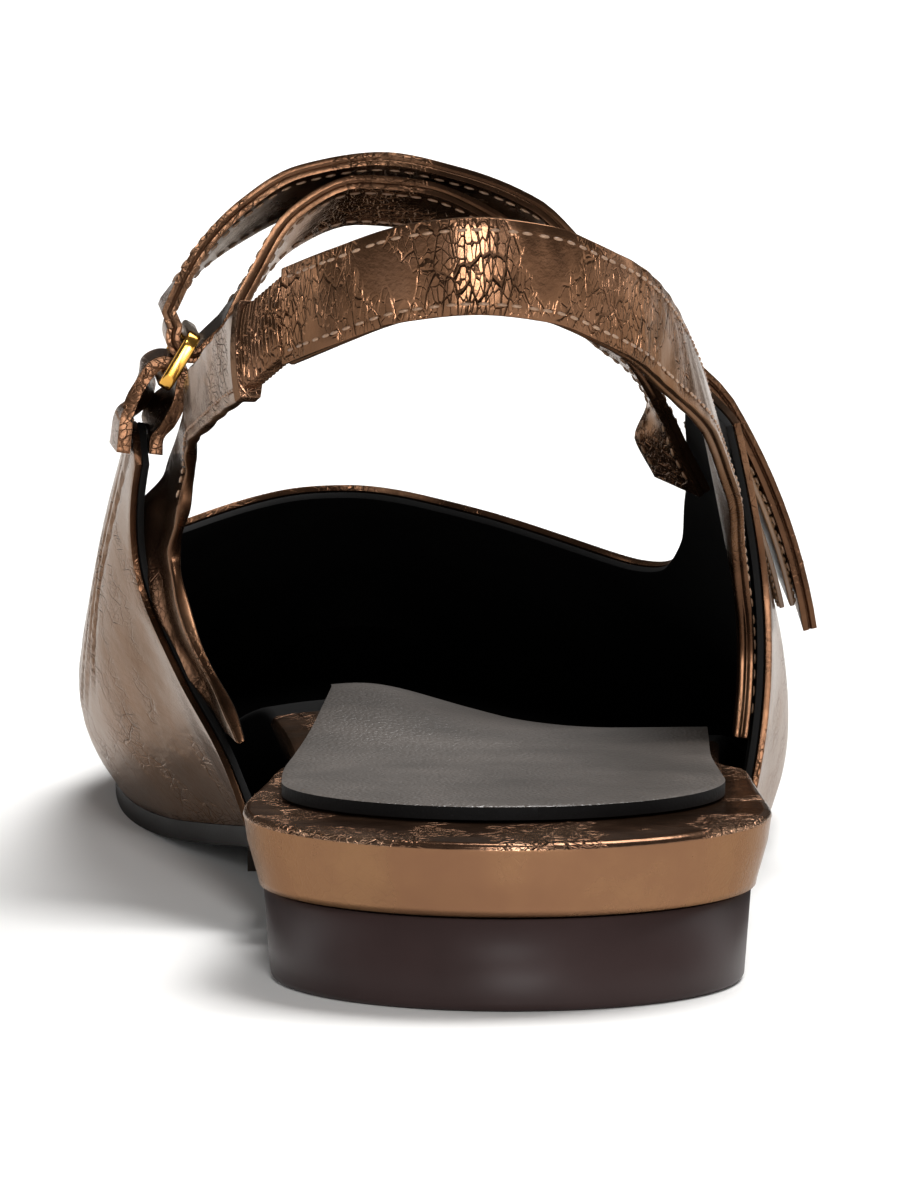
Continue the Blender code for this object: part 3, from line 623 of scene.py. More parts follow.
def finish_piece(name, mesh, materials, node=None, soft_edge=0.0):
    """Makes the piece's object in the frame, rounds its edges and hides the CAD node it stands for."""
    bmesh.ops.remove_doubles(mesh, verts=mesh.verts[:], dist=MERGE)
    bmesh.ops.recalc_face_normals(mesh, faces=mesh.faces[:])
    bmesh.ops.translate(mesh, verts=mesh.verts[:], vec=(0.0, HEEL_BACK, 0.0))
    data = bpy.data.meshes.new(name)
    mesh.to_mesh(data)
    mesh.free()
    data.shade_smooth()
    for material in materials:
        data.materials.append(material)
    piece = bpy.data.objects.new(name, data)
    bpy.context.scene.collection.objects.link(piece)
    if soft_edge:
        bevel = piece.modifiers.new("soft_edge", "BEVEL")
        bevel.limit_method = "ANGLE"
        bevel.angle_limit = math.radians(40)
        bevel.width = soft_edge
        bevel.segments = 3
        bevel.harden_normals = False
    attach(piece, "root")
    if node:
        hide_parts(node)
    print(f"{name}: {len(data.polygons)} faces")
    return piece


def station(v, start, end):
    """A place between start and end for v from -1 to 1, closer together near both."""
    return mix(start, end, (1.0 + math.sin(math.pi / 2 * v)) / 2.0)


# %% [markdown]
# ## Sole and heel
# The outsole is a thin sheet of rubber that runs from the heel's breast to the toe. The heel is a low
# stacked block with a lacquered side. Both are drawn from the sole's outline, which comes from the last,
# and the heel's lower edge is rounded by a quarter circle of small steps.

# %% Outsole and heel
HEEL_TOP_INSET = 0.0022
HEEL_TAPER = 0.0007
HEEL_EDGE_RADIUS = 0.0009


def make_outsole():
    """The thin sole under the forefoot and waist, following the last's underside."""

    def place(u, v, level):
        y = station(v, HEEL_BREAST + CLEARANCE, LENGTH)
        left, right = outline(y)
        return Vector((mix(left, right, (u + 1) / 2), y, sole_lift(y) + level * OUTSOLE_THICKNESS))

    mesh = sheet(20, 110, 2, place)
    return finish_piece("outsole_rubber", mesh, [SOLE_RUBBER] * 3, "outsole", 0.35 * MM)


def make_heel():
    """The low heel, a little tapered, with a rounded edge at the floor."""
    levels = []
    for step in range(6):
        angle = math.pi / 2 * step / 5
        rise = HEEL_EDGE_RADIUS * (1.0 - math.cos(angle))
        levels.append((rise, HEEL_TAPER + HEEL_EDGE_RADIUS * (1.0 - math.sin(angle))))
    levels.append((sole_lift(HEEL_BREAST) + OUTSOLE_THICKNESS, 0.0))

    def place(u, v, level):
        height, inset = levels[level]
        inset += HEEL_TOP_INSET
        y = mix(inset, HEEL_BREAST, 1.0 - math.cos(math.pi / 4 * (v + 1)))
        left, right = outline(y, inset)
        return Vector((mix(left, right, math.sin(math.pi / 4 * (u + 1)) ** 2), y, height))

    mesh = sheet(24, 60, len(levels), place, lambda low, high, u, v: OUTSIDE)
    return finish_piece("heel_block", mesh, [HEEL_LACQUER], "heel")


make_outsole()
make_heel()

# %% [markdown]
# ## Footbed and sock
# The footbed is a board wrapped in the same foiled leather. Its side is stretched smooth and draws in
# below, the ridge above it catches the light, and the leather on top is pleated into fine cracks where it
# was pulled round the heel. Further forward a black lining covers it. The sock is a die-cut piece of padded
# leather with a wavy front edge, so it is thick enough to show its cut side.

# %% Footbed
PLATFORM_END = 0.060
PLATFORM_STEP = 0.007
SHANK_START = 0.076
SHANK_END = 0.175
ARCH_BUMP = 0.0045
RIM_TAPER = 0.0017
RIM_RADIUS = 0.0009
FOOTBED_GAP = 0.0007
FOOTBED_WAIST = 0.0030
BASE_THICKNESS = 0.0013
LINER_GAP = 0.0019
FOIL_END = 0.088


def footbed_height(x, y):
    """Height of the footbed's top: a level seat, the fall of the shank, the forefoot and the arch bump."""
    front = feather_height(y) + FOOTBED_THIN
    fall = ease((y - SHANK_START) / (SHANK_END - SHANK_START))
    bump_x = -0.155 * BALL_WIDTH
    spread_x = (0.24 if x < bump_x else 0.15) * BALL_WIDTH
    along = (y - 0.375 * LENGTH) / (0.11 * LENGTH)
    bump = ARCH_BUMP * math.exp(-(((x - bump_x) / spread_x) ** 2) - along**2)
    return mix(max(SEAT_HEIGHT, front), front, fall) + bump * ease((y - 0.16 * LENGTH) / (0.15 * LENGTH))


def footbed_edges(y, height, inset):
    """The footbed's edges: full width at the heel, then inside the quarters, then inside the feather line."""
    heel = outline(y, inset)
    waist = FOOTBED_WAIST * ease((y - HEEL_ROUND) / 0.035)
    if y < PLATFORM_END:
        return heel[0] + waist, heel[1]
    liner = UPPER_WALL + LINER_GAP + BASE_THICKNESS + CLEARANCE
    level = max(height, feather_height(y) + CLEARANCE)
    sides = [side_of_last(y, level, side, -liner - inset).x for side in (-1, 1)]
    front = outline(y, UPPER_WALL + FOOTBED_GAP + inset)
    step = ease((y - PLATFORM_END) / PLATFORM_STEP)
    ahead = ease((y - 0.42 * LENGTH) / (0.12 * LENGTH))
    edges = [mix(mix(heel[i], sides[i], step), front[i], ahead) for i in (0, 1)]
    return edges[0] + waist * (1.0 - ahead), edges[1]


class Rim(NamedTuple):
    """One level of the rim: its share of the height, of RIM_TAPER drawn in, and of RIM_RADIUS down and in."""

    share: float
    draw: float
    down: float
    inward: float


RIM = [
    Rim(0.00, 1.00, 0.0, 0.0),
    Rim(0.10, 0.92, 0.0, 0.0),
    Rim(0.35, 0.62, 0.0, 0.0),
    Rim(0.65, 0.26, 0.0, 0.0),
    Rim(1.00, 0.06, 1.15, 0.0),
    Rim(1.00, 0.00, 0.80, 0.0),
    Rim(1.00, 0.00, 0.40, 0.12),
    Rim(1.00, 0.00, 0.10, 0.45),
    Rim(1.00, 0.00, 0.00, 1.00),
]
RIM_SIDE, SEAT_TOP, SEAT_LINING = 0, 1, 2


def make_footbed():
    """The leather-wrapped platform under the heel and the insole that runs forward from it."""
    end = LENGTH - UPPER_WALL - FOOTBED_GAP

    def finish_of(low, high, u, v):
        if station(v, 0.0, end) > FOIL_END:
            return SEAT_LINING
        return SEAT_TOP if high >= 6 else RIM_SIDE

    def place(u, v, level):
        rim = RIM[level]
        y = station(v, 0.0, end)
        low = feather_height(y)
        thick = footbed_height(0.0, y) - low
        radius = min(RIM_RADIUS, 0.35 * thick)
        draw = rim.draw * RIM_TAPER * (1.0 - ease((y - PLATFORM_END) / PLATFORM_STEP))
        inset = draw + radius * rim.inward
        y = station(v, inset, end - (inset if level > 4 else 0.0))
        left, right = footbed_edges(y, low + rim.share * thick, inset)
        x = mix(left, right, math.sin(math.pi / 4 * (u + 1)) ** 2)
        if level < 4:
            return Vector((x, y, mix(low, footbed_height(x, y) - radius, rim.share)))
        return Vector((x, y, footbed_height(x, y) - radius * rim.down))

    mesh = sheet(36, 130, len(RIM), place, finish_of)
    return finish_piece("footbed_cover", mesh, [RIM_LEATHER, SEAT_LEATHER, LINING], "footbed")


make_footbed()

# %% Sock
PAD_THICKNESS = 0.0014
PAD_BACK_MARGIN = 0.0165
PAD_SIDE_MARGIN = 0.0042
PAD_ARCH_MARGIN = 0.005
PAD_ROUND = 0.023
PAD_PUFF = 0.25 * MM


class PadEdge(NamedTuple):
    """The sock's front edge: a place across, from -1 on the inner side to 1, and a share of LENGTH."""

    across: float
    along: float


PAD_FRONT = [
    PadEdge(-1.0, 0.375),
    PadEdge(-0.7, 0.408),
    PadEdge(-0.4, 0.392),
    PadEdge(0.0, 0.345),
    PadEdge(0.5, 0.322),
    PadEdge(1.0, 0.328),
]


def make_sock():
    """The black heel pad, soft and slightly puffed, with a waved front edge."""
    back = PAD_BACK_MARGIN

    def place(u, v, level):
        front = follow(PAD_FRONT, u, "along") * LENGTH
        y = station(v, back, front)
        arch = PAD_ARCH_MARGIN * ease((y - 0.17 * LENGTH) / (0.22 * LENGTH))
        left, right = outline(max(y, HEEL_ROUND), PAD_SIDE_MARGIN)
        reach = max(0.0, 1.0 - (y - back) / PAD_ROUND)
        cap = math.sqrt(max(0.0, 1.0 - reach * reach))
        middle = (left + right) / 2
        x = mix(middle + (left + arch - middle) * cap, middle + (right - middle) * cap, (u + 1) / 2)
        puff = PAD_PUFF * (1.0 - u**4) * (1.0 - v**8) * level
        return Vector((x, y, footbed_height(x, y) + CLEARANCE + level * PAD_THICKNESS + puff))

    mesh = sheet(44, 80, 2, place)
    sock = finish_piece("sock_pad", mesh, [SHEEN_PAINTED_SOCK, SOCK_CUT, SOCK_CUT], "heel_pad", 0.3 * MM)
    return sock


make_sock()

# %% [markdown]
# ## The upper
# Vamp and quarters are one wall of leather, lasted over the sole and lined in black. On the real shoe the
# foil is crinkled in slanting folds, deepest where the quarters were pulled tight. Those folds are long
# soft troughs between ridges, modelled in the surface itself, and the finer cracks come from the material.

# %% Creases


class Crease(NamedTuple):
    """A fold in the upper: its ends as (run, rise) places, its half width and its depth in mm."""

    run_a: float
    rise_a: float
    run_b: float
    rise_b: float
    width: float
    depth: float


RUN_SPAN = 0.20
RISE_SPAN = 0.055


def quarter_creases():
    """Slanting folds on both quarters and a few bends across the vamp behind the toes."""
    creases = []
    for i in range(11):
        start = -0.97 + 0.062 * i
        top = 0.93 - 0.05 * (i % 3)
        width = 1.3 + 0.5 * (i % 2)
        creases.append(Crease(start, top, start + 0.16, top - 0.52, width, 0.50 - 0.07 * (i % 3)))
    for i in range(9):
        start = 0.95 - 0.07 * i
        top = 0.90 - 0.06 * (i % 3)
        width = 1.2 + 0.5 * (i % 2)
        creases.append(Crease(start, top, start - 0.15, top - 0.50, width, 0.42 - 0.07 * (i % 2)))
    for i in range(5):
        run = -0.34 + 0.14 * i
        creases.append(Crease(run, 0.80 - 0.04 * (i % 2), run + 0.16, 0.66 + 0.05 * (i % 2), 1.8, 0.25))
    return creases


CREASES = quarter_creases()


def crease_depth(run, rise):
    """How far the folds press the leather in at this place, with a soft ridge on each side of a trough."""
    total = 0.0
    x, z = run * RUN_SPAN, rise * RISE_SPAN
    for crease in CREASES:
        ax, az = crease.run_a * RUN_SPAN, crease.rise_a * RISE_SPAN
        bx, bz = crease.run_b * RUN_SPAN, crease.rise_b * RISE_SPAN
        dx, dz = bx - ax, bz - az
        t = ((x - ax) * dx + (z - az) * dz) / (dx * dx + dz * dz)
        if not -0.15 < t < 1.15:
            continue
        bow = 0.0012 * math.sin(math.pi * t)
        away = ((x - ax) * dz - (z - az) * dx) / math.hypot(dx, dz) - bow
        width = crease.width * MM
        if abs(away) > 3.5 * width:
            continue
        fade = ease((t + 0.15) / 0.4) * ease((1.15 - t) / 0.4)
        share = (away / width) ** 2
        total += crease.depth * MM * fade * (1.0 - 0.8 * share) * math.exp(-share)
    return total


print(f"{len(CREASES)} folds, the deepest {max(c.depth for c in CREASES):.2f} mm")

# %% Upper


class Edge(NamedTuple):
    """A place on the upper's top edge: its share of the run from quarter to quarter, of LENGTH, and round."""

    run: float
    along: float
    around: float


TOP_EDGE = [
    Edge(-1.00, 0.374, 0.195),
    Edge(-0.90, 0.410, 0.213),
    Edge(-0.76, 0.480, 0.215),
    Edge(-0.60, 0.575, 0.238),
    Edge(-0.45, 0.645, 0.292),
    Edge(-0.30, 0.680, 0.355),
    Edge(-0.15, 0.699, 0.425),
    Edge(0.00, 0.710, 0.500),
    Edge(0.15, 0.702, 0.585),
    Edge(0.30, 0.683, 0.655),
    Edge(0.42, 0.656, 0.715),
    Edge(0.50, 0.630, 0.745),
    Edge(0.58, 0.592, 0.762),
    Edge(0.66, 0.552, 0.764),
    Edge(0.74, 0.504, 0.755),
    Edge(0.82, 0.440, 0.752),
    Edge(0.91, 0.345, 0.762),
    Edge(1.00, 0.240, 0.800),
]
QUARTER_START = (0.255, 0.273)
QUARTER_BOW = 0.006
INNER_BOW = 0.024


def upper_place(run, rise):
    """A place on the upper as (y, around): run from quarter to quarter, rise from feather to top edge.

    Each line of the upper runs straight in the plan of the last, with the round of the section as its width.
    """
    side = -1.0 if run < 0 else 1.0
    rear = QUARTER_START[0 if run < 0 else 1] * LENGTH
    feather_y = mix(rear, LENGTH, math.cos(math.pi / 2 * abs(run)) ** 0.9)
    top_y = follow(TOP_EDGE, run, "along") * LENGTH
    top_around = follow(TOP_EDGE, run, "around")
    share = rise**1.8
    bow = QUARTER_BOW * math.sin(math.pi * share) * ease((run - 0.6) / 0.4)
    bow += INNER_BOW * math.sin(math.pi * min(rise**1.15 / 0.9, 1.0)) * ease((-run - 0.6) / 0.4)
    y = mix(feather_y, top_y, share)
    widths = [follow(SECTIONS, place / LENGTH, "half") * end_round(place) for place in (feather_y, top_y, y)]
    plan = mix(side * widths[0], -math.cos(math.pi * top_around) * widths[1], share)
    if widths[2] < 1e-6:
        return y + bow, 0.5
    return y + bow, math.acos(min(max(-plan / widths[2], -1.0), 1.0)) / math.pi


SEAM_DROP = 0.25 * MM
UPPER_LAYERS = [
    (0.0, 0.0),
    (0.42, 0.0),
    (0.5, 0.006),
    (0.58, 0.0),
    (1.0, 0.0),
]


def by_layer(low, high, u, v):
    """Finish of a face of the upper: lining inside and on the inner part of the edge, leather outside."""
    if low == high:
        return OUTSIDE if high else INSIDE
    return INSIDE if high < 3 else EDGE


@functools.cache
def upper_point(run, rise):
    """The last's point and outward direction for a place on the upper."""
    y, around = upper_place(run, rise)
    return last(y, around), last_normal(y, around)


def make_upper():
    """The wall of the upper. Its lowest edge is pressed down onto the outsole, as cement holds it there."""

    def place(u, v, level):
        depth, inset = UPPER_LAYERS[level]
        rise = (v + 1) / 2 * (1.0 - inset)
        point, normal = upper_point(u * (1.0 - inset / 4), rise)
        point = point - normal * UPPER_WALL * (1.0 - depth)
        if level == 4:
            point = point - normal * crease_depth(u, rise) * ease((1.0 - rise) / 0.08)
        point.z = max(point.z, feather_height(point.y)) - SEAM_DROP * (1.0 - ease(rise / 0.05))
        return point

    mesh = sheet(210, 56, len(UPPER_LAYERS), place, by_layer)
    finishes = [UPPER_LEATHER, LINING, EDGE_LEATHER]
    return finish_piece("upper_leather", mesh, finishes, "upper", 0.3 * MM)


make_upper()

# %% [markdown]
# ## Straps
# A strap is two strips of leather sewn back to back with their edges turned in, so it is a little fuller in
# the middle and has a rounded edge. Its middle line, the turn of its width and how closely it lies to the
# last come from a short table of places, the same as the CAD's.

# %% Strap helpers
STRAP_THICKNESS = 0.0016
SLING_WIDTH = 0.0102
SLING_LEAN = 0.0018
INSTEP_STRAP_WIDTH = 0.0115
BASE_WIDTH = 0.0100
ELASTIC_WIDTH = 0.0084
ELASTIC_THICKNESS = 0.0022
TAPE_THICKNESS = 0.0009
TAPE_WIDTH = 0.0100
FORWARD = Vector((0.0, 1.0, 0.0))


class Strip(NamedTuple):
    """A place on a strap's middle line, as a share of its run.

    out, along and up are shares of BALL_WIDTH, LENGTH and INSTEP_HEIGHT. turn is the angle at which the
    strap's width stands, 0 forward and 90 up, and width a share of its named width. hug is how far it
    follows the last, at lift times the depth of what it lies on.
    """

    run: float
    out: float
    along: float
    up: float
    turn: float
    width: float
    hug: float
    lift: float


def strip_edges(rows, run, width, side, depths):
    """The two edge points of a strap at a share of its run. depths are its depth inside and outside."""
    row = Strip(run, *(follow(rows, run, column) for column in Strip._fields[1:]))
    half = row.width * width / 2
    turn = math.radians(row.turn)
    points = []
    for sign in (-1, 1):
        y = row.along * LENGTH + sign * half * math.cos(turn)
        z = row.up * INSTEP_HEIGHT + sign * half * math.sin(turn)
        point = Vector((row.out * BALL_WIDTH, y, z))
        if row.hug > 0.0:
            lift = row.lift * depths[0 if row.lift < 0 else 1]
            point = point.lerp(side_of_last(y, z, side, lift), row.hug)
        points.append(point)
    return points


def band_frame(edges, share):
    """Low edge, high edge, unit tangent and unit normal of a band at a share of its run."""
    low, high = edges(share)
    before = edges(max(share - 0.004, 0.0))
    after = edges(min(share + 0.004, 1.0))
    tangent = ((after[0] + after[1]) - (before[0] + before[1])).normalized()
    return low, high, tangent, (high - low).cross(tangent).normalized()


GROOVE = 0.22 * MM
PLAIN_LAYERS = [(-1.0, 0.0), (1.0, 0.0)]
GROOVED_LAYERS = [(-1.0, 0.0), (-0.3, 0.0), (0.0, GROOVE), (0.3, 0.0), (1.0, 0.0)]


def band(across, along, thickness, edges, puff=0.12 * MM, ripple=None, layers=PLAIN_LAYERS):
    """A strap between two edge lines, fuller in the middle, with an optional ripple of both faces.

    layers holds (side, inset) pairs from the outside at side -1 to the inside at side 1.
    """

    frame_at = functools.cache(lambda share: band_frame(edges, share))

    def place(u, v, level):
        share = (v + 1) / 2
        low, high, _, normal = frame_at(share)
        side, inset = layers[level]
        lift = side * thickness / 2
        if abs(side) == 1.0:
            lift += side * puff * (1.0 - u * u)
            if ripple:
                lift += side * ripple(u, share, side)
        half = (high - low) / 2
        narrow = 1.0 - inset / half.length
        return low + half + half * u * narrow + normal * lift

    return sheet(across, along, len(layers), place, by_side_turned)


# %% [markdown]
# ## Stitching
# The straps are sewn along both edges with a bonded thread, about eight stitches to the inch here. Each
# stitch is a small bead of thread that sits in the leather. All the stitches of a strap are one mesh of
# little spheres drawn out along the seam.

# %% Stitch rows
STITCH_PITCH = 1.75 * MM
STITCH_LENGTH = 1.35 * MM
STITCH_RADIUS = 0.19 * MM


def sew(mesh, edges, across, side, thickness, start=0.01, end=0.99):
    """Adds one row of stitches to mesh, at a place across a band and on one side of it."""
    samples = 240
    places = []
    run = 0.0
    for step in range(samples + 1):
        share = mix(start, end, step / samples)
        low, high, tangent, normal = band_frame(edges, share)
        point = low.lerp(high, across) + normal * side * (thickness / 2 + 0.03 * MM)
        if places:
            run += (point - places[-1][1]).length
        places.append((run, point, tangent, normal))
    for count in range(int(run / STITCH_PITCH)):
        spot = bisect.bisect_left(places, (count + 0.5) * STITCH_PITCH, key=lambda row: row[0])
        _, point, tangent, normal = places[min(spot, samples)]
        turn = Matrix((tangent, normal, tangent.cross(normal))).transposed().to_4x4()
        size = Matrix.Diagonal((STITCH_LENGTH / 2, STITCH_RADIUS, STITCH_RADIUS, 1.0))
        bmesh.ops.create_uvsphere(
            mesh, u_segments=6, v_segments=4, radius=1.0, matrix=Matrix.Translation(point) @ turn @ size
        )


def thread_piece(name, rows):
    """One object with all the stitches of these rows, each a tuple of sew's arguments."""
    mesh = bmesh.new()
    for row in rows:
        sew(mesh, *row)
    return finish_piece(name, mesh, [THREAD])


# %% Sling strap, base and elastic
SLING = [
    Strip(0.00, -0.2860, 0.0706, 0.896, 84, 1.00, 0.0, -1.0),
    Strip(0.09, -0.2270, 0.0363, 0.933, 88, 1.00, 0.0, -1.0),
    Strip(0.18, -0.1400, 0.0165, 0.969, 90, 1.00, 0.0, -1.0),
    Strip(0.26, -0.0595, 0.0115, 0.978, 90, 1.00, 0.0, -1.0),
    Strip(0.34, 0.0250, 0.0160, 0.967, 90, 1.00, 0.0, -1.0),
    Strip(0.42, 0.0976, 0.0344, 0.933, 90, 1.00, 0.0, -1.0),
    Strip(0.49, 0.1550, 0.0610, 0.895, 86, 1.00, 0.0, -1.0),
    Strip(0.59, 0.2110, 0.1110, 0.828, 76, 1.00, 0.0, -1.0),
    Strip(0.68, 0.2480, 0.1600, 0.767, 70, 1.00, 0.0, -1.0),
    Strip(0.76, 0.2760, 0.2060, 0.703, 62, 1.00, 0.0, -1.0),
    Strip(0.84, 0.3060, 0.2540, 0.608, 50, 1.00, 0.2, -1.0),
    Strip(0.91, 0.3260, 0.2930, 0.491, 34, 1.05, 0.8, -1.0),
    Strip(0.96, 0.3450, 0.3090, 0.366, 10, 1.10, 1.0, -1.0),
    Strip(1.00, 0.3450, 0.3060, 0.240, -2, 1.15, 1.0, -1.0),
]
BASE = [
    Strip(0.00, -0.330, 0.2900, 0.245, 0, 1.50, 1.0, -0.64),
    Strip(0.14, -0.370, 0.3640, 0.362, 2, 1.60, 1.0, -0.72),
    Strip(0.26, -0.390, 0.3840, 0.478, 8, 1.42, 1.0, -0.90),
    Strip(0.34, -0.400, 0.3620, 0.554, 12, 1.36, 1.0, -1.10),
    Strip(0.42, -0.380, 0.3460, 0.618, 28, 0.92, 1.0, -1.24),
    Strip(0.54, -0.381, 0.3050, 0.697, 70, 0.80, 0.2, -1.0),
    Strip(0.68, -0.368, 0.2520, 0.738, 73, 0.83, 0.0, -1.0),
    Strip(0.82, -0.354, 0.1910, 0.783, 75, 0.89, 0.0, -1.0),
    Strip(0.92, -0.340, 0.1450, 0.817, 77, 0.96, 0.0, -1.0),
    Strip(1.00, -0.3286, 0.1145, 0.839, 79, 1.00, 0.0, -1.0),
]


def sling_edges(share):
    inside = UPPER_WALL + CLEARANCE + STRAP_THICKNESS / 2
    low, high = strip_edges(SLING, share, SLING_WIDTH, 1, (inside, 0.0))
    lean = SLING_LEAN * ease((share - 0.52) / 0.16) * (1.0 - ease((share - 0.80) / 0.12))
    return low + Vector((lean, 0.0, 0.0)), high - Vector((lean / 3, 0.0, 0.0))


def base_edges(share):
    inside = UPPER_WALL + LINER_GAP + BASE_THICKNESS / 2
    return strip_edges(BASE, share, BASE_WIDTH, -1, (inside, 0.0))


def make_sling_strap():
    """The strap round the heel, with small bends where it curves most."""

    def ripple(u, share, _):
        bend = math.exp(-(((share - 0.47) / 0.2) ** 2))
        return 0.06 * MM * bend * math.sin(share * 170 + 1.5 * math.sin(3 * u + share * 31))

    mesh = band(10, 240, STRAP_THICKNESS, sling_edges, 0.14 * MM, ripple, GROOVED_LAYERS)
    return finish_piece("sling_strap_leather", mesh, [STRAP_LEATHER, UNDERSIDE_WITH_PAINTED_SHADE, EDGE_LEATHER],
                        "sling_strap", 0.4 * MM)


BASE_FILL = 1.7 * MM


def make_base():
    """The crinkled base of the sling. Behind the quarter its front part is full, so no light comes through."""

    def ripple(u, share, side):
        fold = 0.10 * MM * math.sin(share * 60 + 2.2 * u + 1.2 * math.sin(share * 23))
        if side < 0:
            reach = ease(share / 0.1) * (1.0 - ease((share - 0.30) / 0.06))
            fold += BASE_FILL * ease((u + 0.1) / 0.6) * reach
        return fold

    mesh = band(14, 150, BASE_THICKNESS, base_edges, 0.10 * MM, ripple)
    return finish_piece("sling_base_leather", mesh, [BASE_LEATHER, LINING, EDGE_LEATHER],
                        "sling_base", 0.35 * MM)


def elastic_ends():
    """Middle and upward direction at both ends of the gap between base and strap."""
    base = [sum(base_edges(share), Vector()) / 2 for share in (0.98, 1.0)]
    strap = [sum(sling_edges(share), Vector()) / 2 for share in (0.0, 0.02)]
    start = base[1] - (base[1] - base[0]).normalized() * 0.0002
    end = strap[0] + (strap[1] - strap[0]).normalized() * 0.0002
    rise = (base_edges(1.0)[1] - base_edges(1.0)[0]).normalized()
    rise_end = (sling_edges(0.0)[1] - sling_edges(0.0)[0]).normalized()
    return start, end, rise, rise_end


def elastic_edges(share):
    start, end, rise, rise_end = elastic_ends()
    middle = start.lerp(end, share)
    half = rise.lerp(rise_end, share).normalized() * ELASTIC_WIDTH / 2
    return middle - half, middle + half


def make_elastic():
    """Leather gathered on elastic: folds stand across the band, softer towards its edges."""

    def ripple(u, share, _):
        fold = math.sin(2 * math.pi * (11.5 * share + 0.12 * math.sin(4 * u)))
        return 0.26 * MM * fold * (1.0 - 0.5 * u * u)

    mesh = band(18, 120, ELASTIC_THICKNESS - 0.5 * MM, elastic_edges, 0.35 * MM, ripple)
    return finish_piece("gathered_elastic", mesh, [GATHER_LEATHER, UNDERSIDE_WITH_PAINTED_SHADE, GATHER_LEATHER],
                        "sling_elastic", 0.5 * MM)


def mouth_edges(share):
    """The rolled rim where the elastic leaves the base: a short collar round the base's end."""
    start, end, rise, _ = elastic_ends()
    way = (end - start).normalized()
    middle = start + way * mix(-1.4 * MM, 0.5 * MM, share)
    half = rise * (BASE_WIDTH * 1.04 / 2)
    return middle - half, middle + half


def make_mouth():
    """The rolled rim, a short fuller band round the base's end."""
    mesh = band(16, 16, BASE_THICKNESS + 1.0 * MM, mouth_edges, 0.5 * MM)
    return finish_piece("sling_base_mouth", mesh, [BASE_LEATHER] * 3, None, 0.6 * MM)


# The inner faces of the straps, the elastic and the tab use the same foil in darker tones. This is painted
# shade for faces turned away from the light.
UNDERSIDE_WITH_PAINTED_SHADE = bronze_leather(
    "strap_underside_painted_shade", EVEN, UNTURNED, 0.6, 0.4 * MM, ("#2c1d15", "#4b3527", "#6b4f3c"), 0.26
)
make_sling_strap()
make_base()
make_elastic()
make_mouth()
thread_piece("sling_strap_thread", [
    (sling_edges, 0.12, -1, STRAP_THICKNESS + 0.1 * MM),
    (sling_edges, 0.88, -1, STRAP_THICKNESS + 0.1 * MM),
])
thread_piece("sling_base_thread", [(base_edges, 0.14, -1, BASE_THICKNESS + 0.1 * MM, 0.36, 0.97)])

# %% [markdown]
# ## Instep strap, ring and tab
# The strap is anchored inside the outer quarter, crosses the instep, turns round the ring's upper bar and
# comes back to the outer quarter, where a strip of hook and loop tape holds it. The ring hangs in a small
# leather tab that is folded over the ring's lower bar and sewn to the top of the inner quarter.

# %% Instep strap
LOWER_LAYER = [
    Strip(0.00, 0.345, 0.4760, 0.555, 8, 1.0, 1.0, -1.0),
    Strip(0.14, 0.304, 0.4670, 0.610, 6, 1.0, 0.9, -1.0),
    Strip(0.26, 0.276, 0.4540, 0.658, 4, 1.0, 0.1, -1.0),
    Strip(0.33, 0.243, 0.4440, 0.709, -3, 1.0, 0.0, -1.0),
    Strip(0.40, 0.189, 0.4330, 0.764, -12, 1.0, 0.0, -1.0),
    Strip(0.52, 0.039, 0.4080, 0.913, -22, 1.0, 0.0, -1.0),
    Strip(0.62, -0.063, 0.4015, 0.954, -26, 1.0, 0.0, -1.0),
    Strip(0.70, -0.143, 0.4010, 0.961, -26, 1.0, 0.0, -1.0),
    Strip(0.80, -0.232, 0.3990, 0.921, -22, 1.0, 0.0, -1.0),
    Strip(0.90, -0.285, 0.3930, 0.851, -10, 1.0, 0.0, -1.0),
    Strip(1.00, -0.322, 0.3870, 0.792, 0, 1.0, 0.0, -1.0),
]
UPPER_LAYER = [
    Strip(0.00, -0.400, 0.3870, 0.816, 0, 1.0, 0.0, 1.0),
    Strip(0.10, -0.362, 0.3924, 0.876, -12, 1.0, 0.0, 1.0),
    Strip(0.21, -0.2976, 0.3990, 0.934, -22, 1.0, 0.0, 1.0),
    Strip(0.32, -0.220, 0.4010, 0.976, -26, 1.0, 0.0, 1.0),
    Strip(0.42, -0.1155, 0.4010, 0.993, -26, 1.0, 0.0, 1.0),
    Strip(0.52, -0.0107, 0.4040, 0.973, -24, 1.0, 0.0, 1.0),
    Strip(0.62, 0.095, 0.4103, 0.931, -20, 1.0, 0.0, 1.0),
    Strip(0.68, 0.158, 0.4180, 0.873, -14, 1.0, 0.0, 1.0),
    Strip(0.78, 0.268, 0.4313, 0.750, -4, 1.0, 0.2, 1.0),
    Strip(0.85, 0.333, 0.4420, 0.645, 6, 1.0, 1.0, 1.0),
    Strip(0.93, 0.410, 0.4540, 0.494, 12, 1.0, 1.0, 1.0),
    Strip(1.00, 0.460, 0.4687, 0.347, 14, 1.0, 1.0, 1.0),
]
RING_LENGTH = 0.0166
RING_WIDTH = 0.0072
RING_BAR = 0.00135
RING_THICKNESS = 0.0016
RING_CORNER = 0.0017
RING_TILT = math.radians(59.3)
TAB_THICKNESS = 0.0015
TAB_WIDTH = 0.0100
TAB_LEG = 0.0035
TAB_PINCH = 0.0019
RING_PLACE = Strip(0.0, -0.387, 0.3855, 0.750, 0, 1.0, 0.0, 0.0)
LOWER_STEPS, TURN_STEPS, UPPER_STEPS = 60, 16, 72


def ring_frame():
    """The ring's centre, the way from its upper bar to its lower one, and the outward side of its plane."""
    centre = Vector(
        (RING_PLACE.out * BALL_WIDTH, RING_PLACE.along * LENGTH, RING_PLACE.up * INSTEP_HEIGHT)
    )
    down = Vector((-math.cos(RING_TILT), 0.0, -math.sin(RING_TILT)))
    outward = Vector((-math.sin(RING_TILT), 0.0, math.cos(RING_TILT)))
    return centre, down, outward


